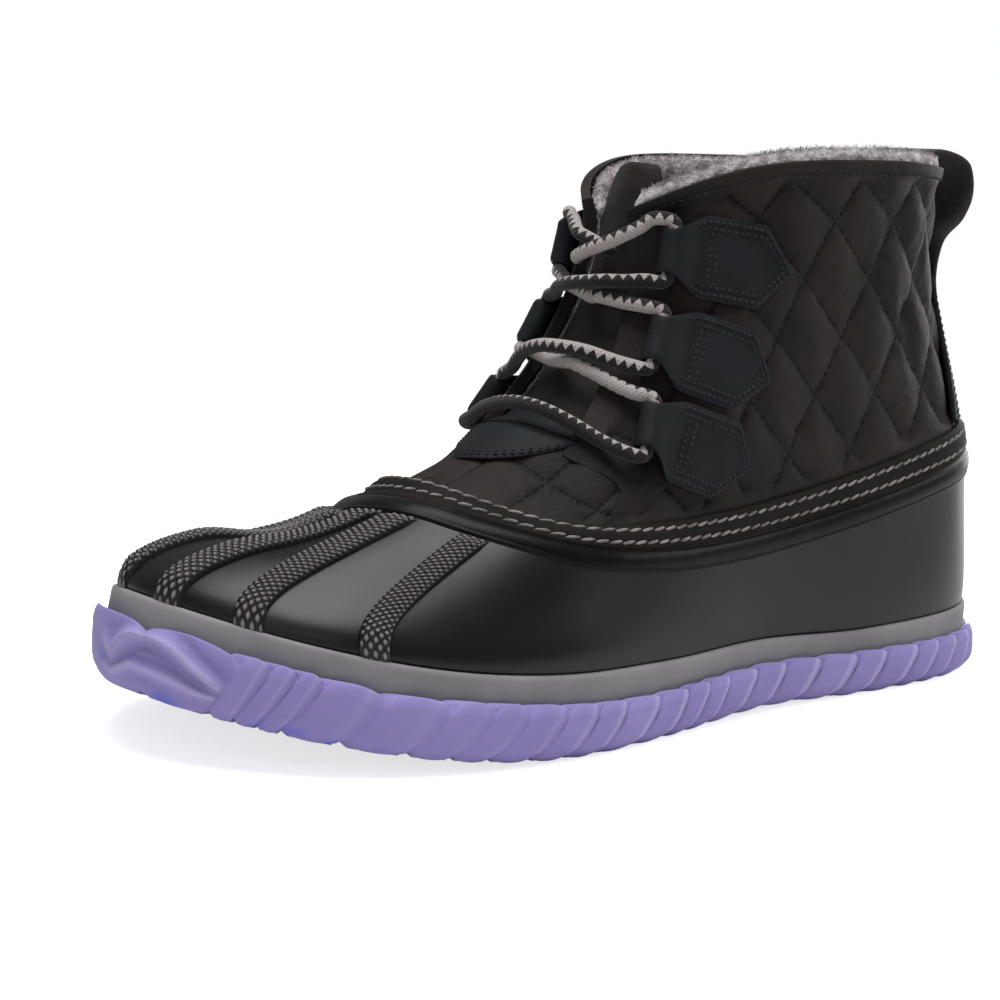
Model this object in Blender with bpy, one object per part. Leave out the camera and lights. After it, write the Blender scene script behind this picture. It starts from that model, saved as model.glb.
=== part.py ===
"""Ankle-high rain boot for the left foot.

A moulded rubber shell under a quilted fabric shaft, on a foam midsole and a roped rubber outsole.
Tables and sizes are in millimetres and meshes in metres. Toe towards +X, outer side +Y, up +Z.
"""

import bmesh
import bpy
import numpy as np

MM = 0.001
# Middle of the sole's outline in the tables below, which becomes the origin
FRAME_CENTRE = (2.7, -0.965)

# Driving dimensions
SEAM_GAP = 0.3
MIDSOLE_TOP = 20.0
MIDSOLE_LIFT_SHARE = 1.22
OUTSOLE_RIM = 12.0
OUTSOLE_LIFT_SHARE = 0.94
OUTSOLE_FLOOR = 6.0
TOE_SPRING = 15.5
SPRING_START = 35.0
SPRING_RUN = 105.0
ARCH_LIFT = 1.0
ARCH_CENTRE = -28.0
ARCH_HALF_LENGTH = 40.0
SHAFT_WALL = 3.0
TONGUE_THICKNESS = 3.6
MIDSOLE_COLUMNS = 64
INSOLE_THICKNESS = 3.5
INSOLE_COLUMNS = 56
LEATHER = 1.0
LACE_RADIUS = 1.9
TUNNEL_RADIUS = 2.25
STRAP_WIDTH = 21.0
STRAP_THICKNESS = 1.4
# How far the strap's edges bend forward where it hugs the heel
STRAP_WRAP = 2.6
# Share of that along the strap
STRAP_HUG = ((0, 1), (0.14, 1), (0.4, 0), (0.55, 0), (0.75, 1.1), (1, 1.1))
# The pull loop's free way from the backstay out and over the collar's edge, from the collar's back: x and z
LOOP_PATH = ((-5.5, -24), (-12.5, -17), (-15.5, -8), (-12.5, 0.5), (-5, 3.8), (1.5, 3.4))
LOOP_ROWS = 19
# Backstay: height of its top, and half widths at its foot, middle and top
BACKSTAY_TOP = 113.0
BACKSTAY_HALVES = (33.0, 21.0, 11.5)
BACKSTAY_ROWS = 6
BACKSTAY_COLUMNS = 9

# One row for each station round the foot, from the heel along the outer side to the toe and back.
# feather is where the shell meets the sole, rim is the shell's top edge, collar is the shaft's top edge.
# low_rise is how steeply the shaft leaves the rim, and hollow is how far it draws in over the ankle.
STATION_COLUMNS = ("feather_x", "feather_y", "rim_x", "rim_y", "rim_z",
                   "collar_x", "collar_y", "collar_z", "low_rise", "hollow")
STATIONS = {
    "heel": (-128, 0, -126.5, 0, 69, -112, 0, 144, 0.3, 6),
    "heel_corner_out": (-117, 20.5, -116, 20, 67, -107, 14.5, 144, 0.3, 5),
    "heel_side_out": (-91, 29.5, -91, 29.5, 62.5, -92, 26, 144, 0.27, 3.5),
    "waist_out": (-28, 32.5, -34, 33, 52.5, -56, 34, 143.5, 0.28, 2),
    "ball_out": (45, 45.5, 22, 38, 49.5, -21, 29, 140.5, 0.2, 1),
    "toe_corner_out": (108, 31, 53, 26, 53, -1, 15.5, 132, 0.1, 2.5),
    "toe": (133, -10, 65, -1, 58.5, 6, 0, 127, 0.06, 4),
    "toe_corner_in": (113, -39.5, 54, -26, 53, -1, -15.5, 132, 0.1, 2.5),
    "ball_in": (55, -45, 26, -36, 50, -21, -29, 140.5, 0.2, 1),
    "waist_in": (-25, -27.5, -30, -30, 52, -56, -33.5, 143.5, 0.28, 2),
    "heel_side_in": (-91, -28.5, -91, -28.5, 62.5, -92, -26, 144, 0.27, 3.5),
    "heel_corner_in": (-117, -20, -116, -20, 67, -107, -14.5, 144, 0.3, 5),
}

# Shape of the shell's wall between feather and rim, as shares of its height and depth
WALL_BULGE = 1.2
WALL_RISE = 0.18
SHOULDER_REACH = 0.66
SHOULDER_DROP = 0.65
SHAFT_PULL = 0.47
SHAFT_TOP_RISE = 0.41

# Outer face of the shell near its rim: depth below the rim, and stand-off from the shaft's face
RIM_PROFILE = ((0.0, 2.2), (0.7, 2.8), (6.6, 2.8), (8.0, 4.7), (10.4, 4.7), (12.0, 2.9))
SHELL_OVERLAP = 16.0
WALL_ROWS = 5
SIDE_COLUMNS = 18

# Knurled rails on the toe: distance along the sole's edge from the toe, outer side positive
RAIL_PLACES = (-48.0, -27.0, -6.0, 14.0, 34.0, 56.0)
RAIL_HALF_WIDTH = 2.9
RAIL_FLANK = 0.7
RAIL_HEIGHT = 1.3
RAIL_TOP = 12.5

# Throat opening: distance of its foot above the rim, and half widths
THROAT_FOOT = 27.0
THROAT_HALF_FOOT = 23.0
THROAT_HALF_TOP = 12.5
SHAFT_SIDE_CELLS = 19
SHAFT_THROAT_CELLS = 4

# Tongue: how far it reaches under the throat's foot and sides, where it comes free of the shaft,
# and its free top as rows of rise, share of its width, and how far its sides stand above its middle
TONGUE_TUCK = 10.0
TONGUE_MARGIN = 5.0
TONGUE_FREE = 1.92
TONGUE_TOP = ((7.0, 1.0, 0.8), (13.0, 0.95, 0.2), (17.0, 0.84, -0.5), (19.5, 0.66, -0.9))
TONGUE_LEAN = 0.2
TONGUE_COLUMNS = 9

# Roped side of the outsole
ROPE_STRANDS = 48
STRAND_PHASES = (0.0, 0.34, 0.68)
STRAND_SWELL = 1.9
STRAND_SCALLOP = 1.8
STRAND_FOOT = 1.6
STRAND_SLANT = 10.0
GROOVE_DEPTH = 3.0
BAND_STAND_OFF = 4.1
ROPE_STAND_OFF = 5.8
# Rows down a strand: share of its height, and bulge beyond the rope's stand-off
ROPE_ROWS = ((1.0, -0.9), (0.82, 0.2), (0.2, 0.3), (0.0, -1.6))
TREAD_INSETS = (9.0, 18.0)

# Bars across the tread inside the lugs: x of the bar's point, half span, and y of its middle
BARS = ((-104, 10, 0), (-90, 13, 0), (-76, 14, 0.5), (-62, 14, 1), (22, 20, 2), (37, 22, 0), (52, 24, -1.5),
        (67, 25, -3.5), (82, 25, -5), (97, 21, -6))
BAR_DEPTH = 7.0
BAR_SWEEP = 0.35

# Lace tabs: place of the front fold beside the front centre line on the outer and on the inner side,
# its height, and the fall of the tip
TABS = {"top": (22.7, 26.0, 117.3, 0.12), "middle": (26.8, 40.0, 97.3, 0.38), "bottom": (38.5, 46.0, 77.2, 0.6)}
TAB_FOLD_HALF = 6.0
TAB_HALF = 10.8
TAB_FLARE = 11.5
TAB_SHOULDER = 25.5
TAB_TIP = 33.5

# The lace's way: tab, side and the end it goes in at, from the inner top tab down, across and up again
LACE_WAY = (("top", -1, 1), ("middle", 1, 1), ("bottom", -1, 1), ("bottom", 1, -1), ("middle", -1, -1), ("top", 1, -1))
LACE_RIDE = 2.6
LACE_POINTS = 108
LEG_LENGTH = 98.0
# Where the lace crosses the throat: stand-off and upward bow in the middle of each crossing
LACE_CROSSINGS = ((-1.0, 2.0), (6.0, 5.0), (2.0, 9.0), (-1.0, 5.0), (6.0, 2.0))
# The two ends, tucked in beside the top tabs: beside the front centre line, height, stand-off there and midway
LACE_ENDS = ((16.5, 112.0, 2.6, -1.0), (-20.0, 114.0, 2.6, 5.0))

COLOURS = {
    "rubber_black": ((0.012, 0.012, 0.013, 1), 0.32),
    "rubber_grey": ((0.19, 0.19, 0.195, 1), 0.6),
    "rubber_purple": ((0.25, 0.21, 0.51, 1), 0.55),
    "quilted_nylon": ((0.014, 0.012, 0.012, 1), 0.6),
    "leather_black": ((0.013, 0.014, 0.016, 1), 0.65),
    "webbing_black": ((0.01, 0.01, 0.01, 1), 0.8),
    "lace_grey": ((0.12, 0.115, 0.115, 1), 0.85),
    "foam_grey": ((0.2, 0.19, 0.2, 1), 0.9),
}


def smooth_step(x):
    x = np.clip(x, 0, 1)
    return x * x * (3 - 2 * x)


def lift(x):
    """Height that toe spring and arch add under a point of the sole."""
    spring = TOE_SPRING * np.clip((x - SPRING_START) / SPRING_RUN, 0, 1.2) ** 2
    arch = ARCH_LIFT * smooth_step(1 - np.abs(x - ARCH_CENTRE) / ARCH_HALF_LENGTH)
    return spring + arch


def midsole_top(x):
    return MIDSOLE_TOP + MIDSOLE_LIFT_SHARE * lift(x)


class ClosedSpline:
    """Cubic spline through the rows of a table, closed on itself, with its parameter from 0 to 1."""

    def __init__(self, knots, rows):
        self.knots, self.rows = knots, rows
        self.steps = np.diff(np.append(knots, 1.0))
        count = len(knots)
        matrix = np.zeros((count, count))
        for i in range(count):
            matrix[i, i - 1] += self.steps[i - 1]
            matrix[i, i] += 2 * (self.steps[i - 1] + self.steps[i])
            matrix[i, (i + 1) % count] += self.steps[i]
        slopes = (np.roll(rows, -1, 0) - rows) / self.steps[:, None]
        self.bends = np.linalg.solve(matrix, 6 * (slopes - np.roll(slopes, 1, 0)))

    def at(self, u):
        u = np.asarray(u, float) % 1.0
        i = np.searchsorted(self.knots, u, side="right") - 1
        j = (i + 1) % len(self.knots)
        step = self.steps[i][..., None]
        b = (u - self.knots[i])[..., None] / step
        a = 1 - b
        bend = (a ** 3 - a) * self.bends[i] + (b ** 3 - b) * self.bends[j]
        return a * self.rows[i] + b * self.rows[j] + bend * step ** 2 / 6


def make_stations():
    """The station table as a closed spline, spaced by length along the feather edge."""
    rows = np.array(list(STATIONS.values()), float)
    chords = np.linalg.norm(np.roll(rows[:, :2], -1, 0) - rows[:, :2], axis=1)
    knots = np.concatenate([[0], np.cumsum(chords)[:-1]]) / chords.sum()
    return ClosedSpline(knots, rows), knots[list(STATIONS).index("toe")], chords.sum()


STATION_SPLINE, TOE_U, GIRTH = make_stations()
PARTS = bpy.data.collections.new("rain_boot")
HELPERS = bpy.data.collections.new("helpers")
MATERIALS = {}


def column(rows, *names):
    return np.stack([rows[..., STATION_COLUMNS.index(name)] for name in names], -1)


def sole_edge(u, stand_off):
    """Plan of the feather edge moved outwards by stand_off, as x and y."""
    u = np.asarray(u, float)
    ahead = column(STATION_SPLINE.at(u + 1e-4), "feather_x", "feather_y")
    behind = column(STATION_SPLINE.at(u - 1e-4), "feather_x", "feather_y")
    along = ahead - behind
    along /= np.linalg.norm(along, axis=-1, keepdims=True)
    outwards = np.stack([-along[..., 1], along[..., 0]], -1)
    plan = column(STATION_SPLINE.at(u), "feather_x", "feather_y")
    return plan + outwards * np.asarray(stand_off, float)[..., None], outwards


def bezier(points, t):
    t = t[..., None]
    s = 1 - t
    return s ** 3 * points[0] + 3 * s * s * t * points[1] + 3 * s * t * t * points[2] + t ** 3 * points[3]


def skin(u, v):
    """Outer face of the shaft, carried on down inside the shell.

    u runs once round from the heel. v is 0 at the sole, 1 at the shell's rim and 2 at the collar.
    """
    u, v = np.broadcast_arrays(np.asarray(u, float), np.asarray(v, float))
    rows = STATION_SPLINE.at(u)
    plan, outwards = sole_edge(u, np.zeros_like(u))
    feather = np.concatenate([plan, midsole_top(plan[..., :1]) + SEAM_GAP], -1)
    rim = column(rows, "rim_x", "rim_y", "rim_z")
    collar = column(rows, "collar_x", "collar_y", "collar_z")
    out = np.concatenate([outwards, np.zeros_like(plan[..., :1])], -1)
    flat = np.array([1.0, 1.0, 0.0])
    up = np.array([0.0, 0.0, 1.0])
    wall = (rim - feather)[..., 2:]
    leg = (collar - rim)[..., 2:]
    low_rise = column(rows, "low_rise")
    hollow = column(rows, "hollow")
    shell = bezier((feather,
                    feather + out * WALL_BULGE + up * wall * WALL_RISE,
                    rim + (feather - rim) * flat * SHOULDER_REACH - up * wall * SHOULDER_DROP,
                    rim), v)
    shaft = bezier((rim,
                    rim + (collar - rim) * flat * SHAFT_PULL + up * leg * low_rise,
                    collar - out * hollow - up * leg * SHAFT_TOP_RISE,
                    collar), v - 1)
    return np.where(v[..., None] <= 1, shell, shaft)


def skin_slopes(u, v):
    """Derivatives of the skin round the foot and up it. They stay on one side of the rim."""
    u, v = np.broadcast_arrays(np.asarray(u, float), np.asarray(v, float))
    step = 1e-3
    low = np.where(v > 1, np.maximum(v - step, 1 + 1e-6), v - step)
    high = np.where(v > 1, v + step, np.minimum(v + step, 1))
    round_foot = (skin(u + step, v) - skin(u - step, v)) / (2 * step)
    up_foot = (skin(u, high) - skin(u, low)) / (high - low)[..., None]
    return round_foot, up_foot


def skin_normal(u, v):
    round_foot, up_foot = skin_slopes(u, v)
    normal = np.cross(up_foot, round_foot)
    return normal / np.linalg.norm(normal, axis=-1, keepdims=True)


def off_skin(u, v, stand_off):
    """Points that stand off the skin, outwards positive."""
    return skin(u, v) + skin_normal(u, v) * np.asarray(stand_off, float)[..., None]


def level(u, distance):
    """v at a distance above the rim, measured up the skin. Each u takes the matching distances."""
    v = np.linspace(-0.05, 2.2, 361)
    found = []
    for place, wanted in zip(np.atleast_1d(u), np.atleast_1d(distance)):
        line = skin(np.full_like(v, place), v)
        length = np.concatenate([[0], np.cumsum(np.linalg.norm(np.diff(line, axis=0), axis=1))])
        found.append(np.interp(wanted + np.interp(1, v, length), length, v))
    return np.array(found)


def beside_front(v, distance):
    """u at a distance from the front centre line, measured round the skin at v, outer side positive."""
    u = TOE_U + np.linspace(-0.3, 0.3, 241)
    found = []
    for height, wanted in zip(np.atleast_1d(v), np.atleast_1d(distance)):
        line = skin(u, np.full_like(u, height))
        length = np.concatenate([[0], np.cumsum(np.linalg.norm(np.diff(line, axis=0), axis=1))])
        found.append(np.interp(np.interp(TOE_U, u, length) - wanted, length, u))
    return np.array(found)


def beside_heel(v, distance):
    """u at a distance from the heel's centre line, measured round the skin at v, outer side positive."""
    u = np.linspace(-0.25, 0.25, 161)
    line = skin(u, np.full_like(u, v))
    length = np.concatenate([[0], np.cumsum(np.linalg.norm(np.diff(line, axis=0), axis=1))])
    return np.interp(np.interp(0, u, length) + distance, length, u)


def walk(u, v, heading, distance, steps=12):
    """Places reached by walking on the skin for a distance, always along the heading's shadow on it."""
    step = np.asarray(distance, float) / steps
    for _ in range(steps):
        round_foot, up_foot = skin_slopes(u, v)
        normal = np.cross(round_foot, up_foot)
        normal /= np.linalg.norm(normal, axis=-1, keepdims=True)
        along = heading - normal * (normal @ heading)[..., None]
        along /= np.linalg.norm(along, axis=-1, keepdims=True)
        rr = (round_foot ** 2).sum(-1)
        ru = (round_foot * up_foot).sum(-1)
        uu = (up_foot ** 2).sum(-1)
        ar = (along * round_foot).sum(-1)
        au = (along * up_foot).sum(-1)
        area = rr * uu - ru * ru
        u = u + step * (ar * uu - au * ru) / area
        v = v + step * (au * rr - ar * ru) / area
    return u, v


def to_frame(points):
    """Metres in the boot's frame, whose origin is under the middle of the outsole."""
    return (np.asarray(points) - np.array([*FRAME_CENTRE, 0.0])) * MM


def new_material(name):
    colour, roughness = COLOURS[name]
    material = bpy.data.materials.new(name)
    material.use_nodes = True
    shader = material.node_tree.nodes["Principled BSDF"]
    shader.inputs["Base Color"].default_value = colour
    shader.inputs["Roughness"].default_value = roughness
    return material


def new_solid(name, points, faces, material, smooth_angle=0.7):
    """One closed object from points in millimetres, with its loose points dropped and its faces turned out."""
    mesh = bpy.data.meshes.new(name)
    mesh.from_pydata(to_frame(points).tolist(), [], faces)
    work = bmesh.new()
    work.from_mesh(mesh)
    bmesh.ops.delete(work, geom=[v for v in work.verts if not v.link_faces], context="VERTS")
    bmesh.ops.remove_doubles(work, verts=work.verts, dist=0.01 * MM)
    bmesh.ops.recalc_face_normals(work, faces=work.faces)
    work.to_mesh(mesh)
    work.free()
    mesh.shade_smooth()
    mesh.set_sharp_from_angle(angle=smooth_angle)
    solid = bpy.data.objects.new(name, mesh)
    mesh.materials.append(MATERIALS[material])
    PARTS.objects.link(solid)
    return solid


def wall(name, outer, inner, material, wrap=False, keep=None):
    """A wall between two grids of points, closed along every edge. keep drops cells, as for an opening."""
    rows, columns = outer.shape[:2]
    cells = columns if wrap else columns - 1
    if keep is None:
        keep = np.ones((rows - 1, cells), bool)
    index = np.arange(rows * columns).reshape(rows, columns)
    below = len(index.ravel())
    faces = []
    edges = set()
    for r, c in np.argwhere(keep):
        d = (c + 1) % columns
        quad = [int(index[r, c]), int(index[r, d]), int(index[r + 1, d]), int(index[r + 1, c])]
        faces.append(quad)
        faces.append([below + i for i in reversed(quad)])
        edges.update(zip(quad, quad[1:] + quad[:1]))
    faces += [[b, a, below + a, below + b] for a, b in sorted(edges) if (b, a) not in edges]
    points = np.concatenate([outer.reshape(-1, 3), inner.reshape(-1, 3)])
    return new_solid(name, points, faces, material)


def ring_stack(name, rings, material, hollow=False):
    """A solid between rings of equal count.

    The first and last ring are closed by rungs from side to side, or joined to each other if it is hollow.
    """
    count = len(rings[0])
    faces = []
    for r in range(len(rings) - (not hollow)):
        low, high = r * count, (r + 1) % len(rings) * count
        for c in range(count):
            d = (c + 1) % count
            faces.append([low + c, low + d, high + d, high + c])
    for base in () if hollow else (0, (len(rings) - 1) * count):
        for i in range(count // 2):
            rung = dict.fromkeys((i, i + 1, count - i - 1, (count - i) % count))
            faces.append([base + k for k in rung])
    return new_solid(name, np.concatenate(rings), faces, material)


def ring(u, stand_off, height):
    """Points round the sole at a stand-off from the feather edge, at a height that may follow x."""
    plan, _ = sole_edge(u, np.broadcast_to(stand_off, u.shape))
    z = height(plan[:, 0]) if callable(height) else height
    return np.column_stack([plan, np.broadcast_to(z, u.shape)])


def make_outsole():
    """A cup of roped strands: scalloped rim, slanted sides, and lugs that run under the sole."""
    strand = np.repeat(np.arange(ROPE_STRANDS), len(STRAND_PHASES))
    phase = np.tile(STRAND_PHASES, ROPE_STRANDS)
    u = (strand + phase) / ROPE_STRANDS
    swell = np.sqrt(1 - (2 * phase - 1) ** 2)
    slant = np.tanh(3 * np.sin(2 * np.pi * u)) * STRAND_SLANT / GIRTH
    inner = BAND_STAND_OFF + SEAM_GAP

    def top(x):
        return OUTSOLE_RIM + OUTSOLE_LIFT_SHARE * lift(x) + STRAND_SCALLOP * swell

    rings = [ring(u, inner, lambda x: OUTSOLE_FLOOR + lift(x)), ring(u, inner, lambda x: top(x) - 0.6)]
    for share, bulge in ROPE_ROWS:
        place = u + slant * (0.5 - share)
        foot = (1 - swell) * STRAND_FOOT
        stand_off = ROPE_STAND_OFF + bulge + STRAND_SWELL * swell * min(1, 2.5 * share + 0.3)
        rings.append(ring(place, stand_off, lambda x: lift(x) + foot + share * (top(x) - lift(x) - foot)))
    groove = np.where(swell > 0.5, 0.0, GROOVE_DEPTH)
    place = u + slant * 0.5
    for inset in TREAD_INSETS:
        rings.append(ring(place, ROPE_STAND_OFF - inset, lambda x: lift(x) + groove))
    rings.append(ring(place, ROPE_STAND_OFF - TREAD_INSETS[-1] - 2, lambda x: lift(x) + GROOVE_DEPTH))
    outsole = ring_stack("outsole", rings, "rubber_purple")
    union = outsole.modifiers.new("tread_bars", "BOOLEAN")
    union.operation = "UNION"
    union.solver = "EXACT"
    union.object = make_tread_bars()
    return outsole


def make_tread_bars():
    """Swept bars under the sole, as one hidden helper that the outsole is joined with."""
    shares = np.linspace(-1, 1, 5)
    points, faces = [], []
    for x, half_span, middle in BARS:
        across = middle + half_span * shares
        for depth, drop in ((0, 0), (BAR_DEPTH, 0), (BAR_DEPTH, 1), (0, 1)):
            along = x - depth + BAR_SWEEP * half_span * np.abs(shares)
            height = lift(along) + drop * (GROOVE_DEPTH + 0.6)
            points.append(np.column_stack([along, across, height]))
        base = (len(points) - 4) * 5
        for edge in range(4):
            other = (edge + 1) % 4
            faces += [[base + edge * 5 + i, base + edge * 5 + i + 1, base + other * 5 + i + 1, base + other * 5 + i]
                      for i in range(4)]
        faces += [[base + edge * 5 + i for edge in range(4)] for i in (0, 4)]
    bars = new_solid("tread_bars", np.concatenate(points), faces, "rubber_purple")
    PARTS.objects.unlink(bars)
    HELPERS.objects.link(bars)
    bars.hide_render = True
    bars.display_type = "WIRE"
    return bars


def make_midsole():
    """Foam slab inside the outsole's cup. Its side is the band that shows between rubber and rubber."""
    u = np.arange(MIDSOLE_COLUMNS) / MIDSOLE_COLUMNS
    floor = OUTSOLE_FLOOR + SEAM_GAP
    rings = [ring(u, BAND_STAND_OFF - 1.0, lambda x: floor + lift(x)),
             ring(u, BAND_STAND_OFF, lambda x: floor + 1.0 + lift(x)),
             ring(u, BAND_STAND_OFF, lambda x: midsole_top(x) - 0.8),
             ring(u, BAND_STAND_OFF - 0.8, midsole_top)]
    return ring_stack("midsole", rings, "rubber_grey")


def make_insole():
    """Flat sock that lies on the midsole inside the shell."""
    u = np.arange(INSOLE_COLUMNS) / INSOLE_COLUMNS
    rings = [ring(u, -1.8, lambda x: midsole_top(x) + SEAM_GAP),
             ring(u, -2.4, lambda x: midsole_top(x) + INSOLE_THICKNESS - 0.8),
             ring(u, -5.5, lambda x: midsole_top(x) + INSOLE_THICKNESS)]
    return ring_stack("insole", rings, "foam_grey")


def rail_columns():
    """Columns round the shell: u of each, how far it leans with a rail, and its share of the rail's height."""
    centres = [TOE_U - place / GIRTH for place in reversed(RAIL_PLACES)]
    profile = ((-RAIL_HALF_WIDTH - RAIL_FLANK, 0.0), (-RAIL_HALF_WIDTH, 1.0),
               (RAIL_HALF_WIDTH, 1.0), (RAIL_HALF_WIDTH + RAIL_FLANK, 0.0))
    found = [(u, 0.0, 0.0) for u in np.linspace(0, 1, SIDE_COLUMNS) ** 1.25 * (centres[0] - 0.03)]
    for i, centre in enumerate(centres):
        found += [(centre, across, share) for across, share in profile]
        if i + 1 < len(centres):
            found.append(((centre + centres[i + 1]) / 2, 0.0, 0.0))
    found += [(1 - u, 0.0, 0.0) for u in np.linspace(1, 0, SIDE_COLUMNS)[:-1] ** 1.25 * (0.97 - centres[-1])]
    return np.array(found)


def make_shell():
    """Moulded rubber shell: stitched flange, rolled bead, wall and toe rails, open above and below."""
    columns = rail_columns()
    base_u, across, rail = columns.T
    bottom = -level_length(base_u)
    depths = [np.full(len(base_u), -depth) for depth, _ in RIM_PROFILE]
    shares = np.linspace(0, 1, WALL_ROWS + 1)[1:] ** 0.8
    start = -RIM_PROFILE[-1][0]
    depths += [start + (bottom - start) * share for share in shares]
    stand_offs = [stand for _, stand in RIM_PROFILE] + [RIM_PROFILE[-1][1]] * WALL_ROWS
    outer, inner = [], []
    for r, (depth, stand) in enumerate(zip(depths, stand_offs)):
        v = level(base_u, depth)
        v = np.where(depth <= bottom + 1e-6, 0, v)
        scale = np.linalg.norm(skin_slopes(base_u, v)[0], axis=-1)
        u = base_u + across / scale
        raised = rail * RAIL_HEIGHT * (depth < -RAIL_TOP + 0.5)
        outer.append(off_skin(u, v, stand + raised))
        if r == 0 or r >= len(RIM_PROFILE) - 1:
            inner.append(off_skin(u, v, np.full(len(u), 2 * SEAM_GAP)))
    for edge in (outer[-1], inner[-1]):
        edge[:, 2] = midsole_top(edge[:, 0]) + SEAM_GAP
    return ring_stack("shell", outer + inner[::-1], "rubber_black", hollow=True)


def level_length(u):
    """Length of the skin from the rim down to the sole at each u."""
    v = np.linspace(0, 1, 121)
    return np.array([np.linalg.norm(np.diff(skin(np.full_like(v, place), v), axis=0), axis=1).sum() for place in u])


def throat_half(v, foot):
    return THROAT_HALF_FOOT + (THROAT_HALF_TOP - THROAT_HALF_FOOT) * np.clip((v - foot) / (2 - foot), 0, 1)


def make_shaft():
    """Quilted upper: one wall from inside the shell to the collar, cut away at the throat."""
    foot = level([TOE_U], [THROAT_FOOT])[0]
    side_cells, throat_cells = SHAFT_SIDE_CELLS, SHAFT_THROAT_CELLS
    heights = [None, None, 1.0, (1 + foot) / 2, foot] + list(np.linspace(foot, 2, 8)[1:])
    depths = {0: -SHELL_OVERLAP, 1: -SHELL_OVERLAP / 2}
    outer, inner = [], []
    for r, height in enumerate(heights):
        v = 1.0 if height is None else height
        half = throat_half(v, foot)
        edge_out, edge_in = beside_front([v, v], [half, -half])
        across = np.linspace(half, -half, throat_cells + 1)
        front = beside_front(np.full(throat_cells + 1, v), across)
        u = np.concatenate([np.linspace(0, edge_out, side_cells + 1)[:-1], front,
                            np.linspace(edge_in, 1, side_cells + 1)[1:-1]])
        v = np.full(len(u), v) if height else level(u, np.full(len(u), depths[r]))
        outer.append(off_skin(u, v, np.zeros(len(u))))
        inner.append(off_skin(u, v, np.full(len(u), -SHAFT_WALL)))
    outer, inner = np.array(outer), np.array(inner)
    keep = np.ones((len(heights) - 1, outer.shape[1]), bool)
    keep[heights.index(foot):, side_cells:side_cells + throat_cells] = False
    return wall("shaft", outer, inner, "quilted_nylon", wrap=True, keep=keep)


def make_tongue():
    """Padded tongue under the throat, sewn in at its foot and standing free above the collar's front."""
    foot = level([TOE_U], [THROAT_FOOT - TONGUE_TUCK])[0]
    shares = np.linspace(-1, 1, TONGUE_COLUMNS)
    under = np.full(TONGUE_COLUMNS, -SHAFT_WALL - 3 * SEAM_GAP)
    rows = []
    for v in np.linspace(foot, TONGUE_FREE, 9):
        half = throat_half(v, foot) + TONGUE_MARGIN
        u = beside_front(np.full(TONGUE_COLUMNS, v), -shares * half)
        rows.append(off_skin(u, np.full(TONGUE_COLUMNS, v), under))
    edge = rows[-1]
    middle = edge[TONGUE_COLUMNS // 2]
    heading = (edge - rows[-2]).mean(0)
    heading = heading / np.linalg.norm(heading) - np.array([TONGUE_LEAN, 0, 0])
    rows += [middle + (edge - middle) * (width, width, crown) + heading * rise
             for rise, width, crown in TONGUE_TOP]
    outer = np.array(rows)
    normal = np.cross(np.gradient(outer, axis=0), np.gradient(outer, axis=1))
    normal /= np.linalg.norm(normal, axis=-1, keepdims=True)
    return wall("tongue", outer, outer - normal * TONGUE_THICKNESS, "quilted_nylon")


def tab_middle(name, side):
    """u and v in the middle of a tab's fold, with the headings from fold to tip and across the tab."""
    beside_out, beside_in, height, fall = TABS[name]
    beside = beside_out if side > 0 else -beside_in
    v = np.linspace(1.05, 2, 120)
    u = beside_front(v, np.full(120, beside))
    z = skin(u, v)[:, 2]
    u, v = np.interp(height, z, u), np.interp(height, z, v)
    normal = skin_normal(u, v)
    back = np.array([-1.0, 0.3 * side, -fall])
    back -= normal * (normal @ back)
    back /= np.linalg.norm(back)
    across = np.cross(normal, back)
    return u, v, back, across * np.sign(across[2])


def tab_points(name, side, along, across, stand_off):
    """Points of a tab: along from its fold, across from its middle, and off the skin."""
    u, v, back, sideways = tab_middle(name, side)
    along, across, stand_off = np.broadcast_arrays(*(np.asarray(a, float) for a in (along, across, stand_off)))
    u, v = walk(np.full(along.shape, u), np.full(along.shape, v), back, along)
    u, v = walk(u, v, sideways, across)
    return off_skin(u, v, stand_off), u, v


def tab_half(along):
    """Half width of a tab: narrow at the fold, full in the middle, and pointed at the tip."""
    flare = TAB_FOLD_HALF + (TAB_HALF - TAB_FOLD_HALF) * smooth_step((along - 2.5) / (TAB_FLARE - 2.5))
    return flare * np.clip((TAB_TIP + 0.4 - along) / (TAB_TIP - TAB_SHOULDER), 0, 1)


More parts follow.
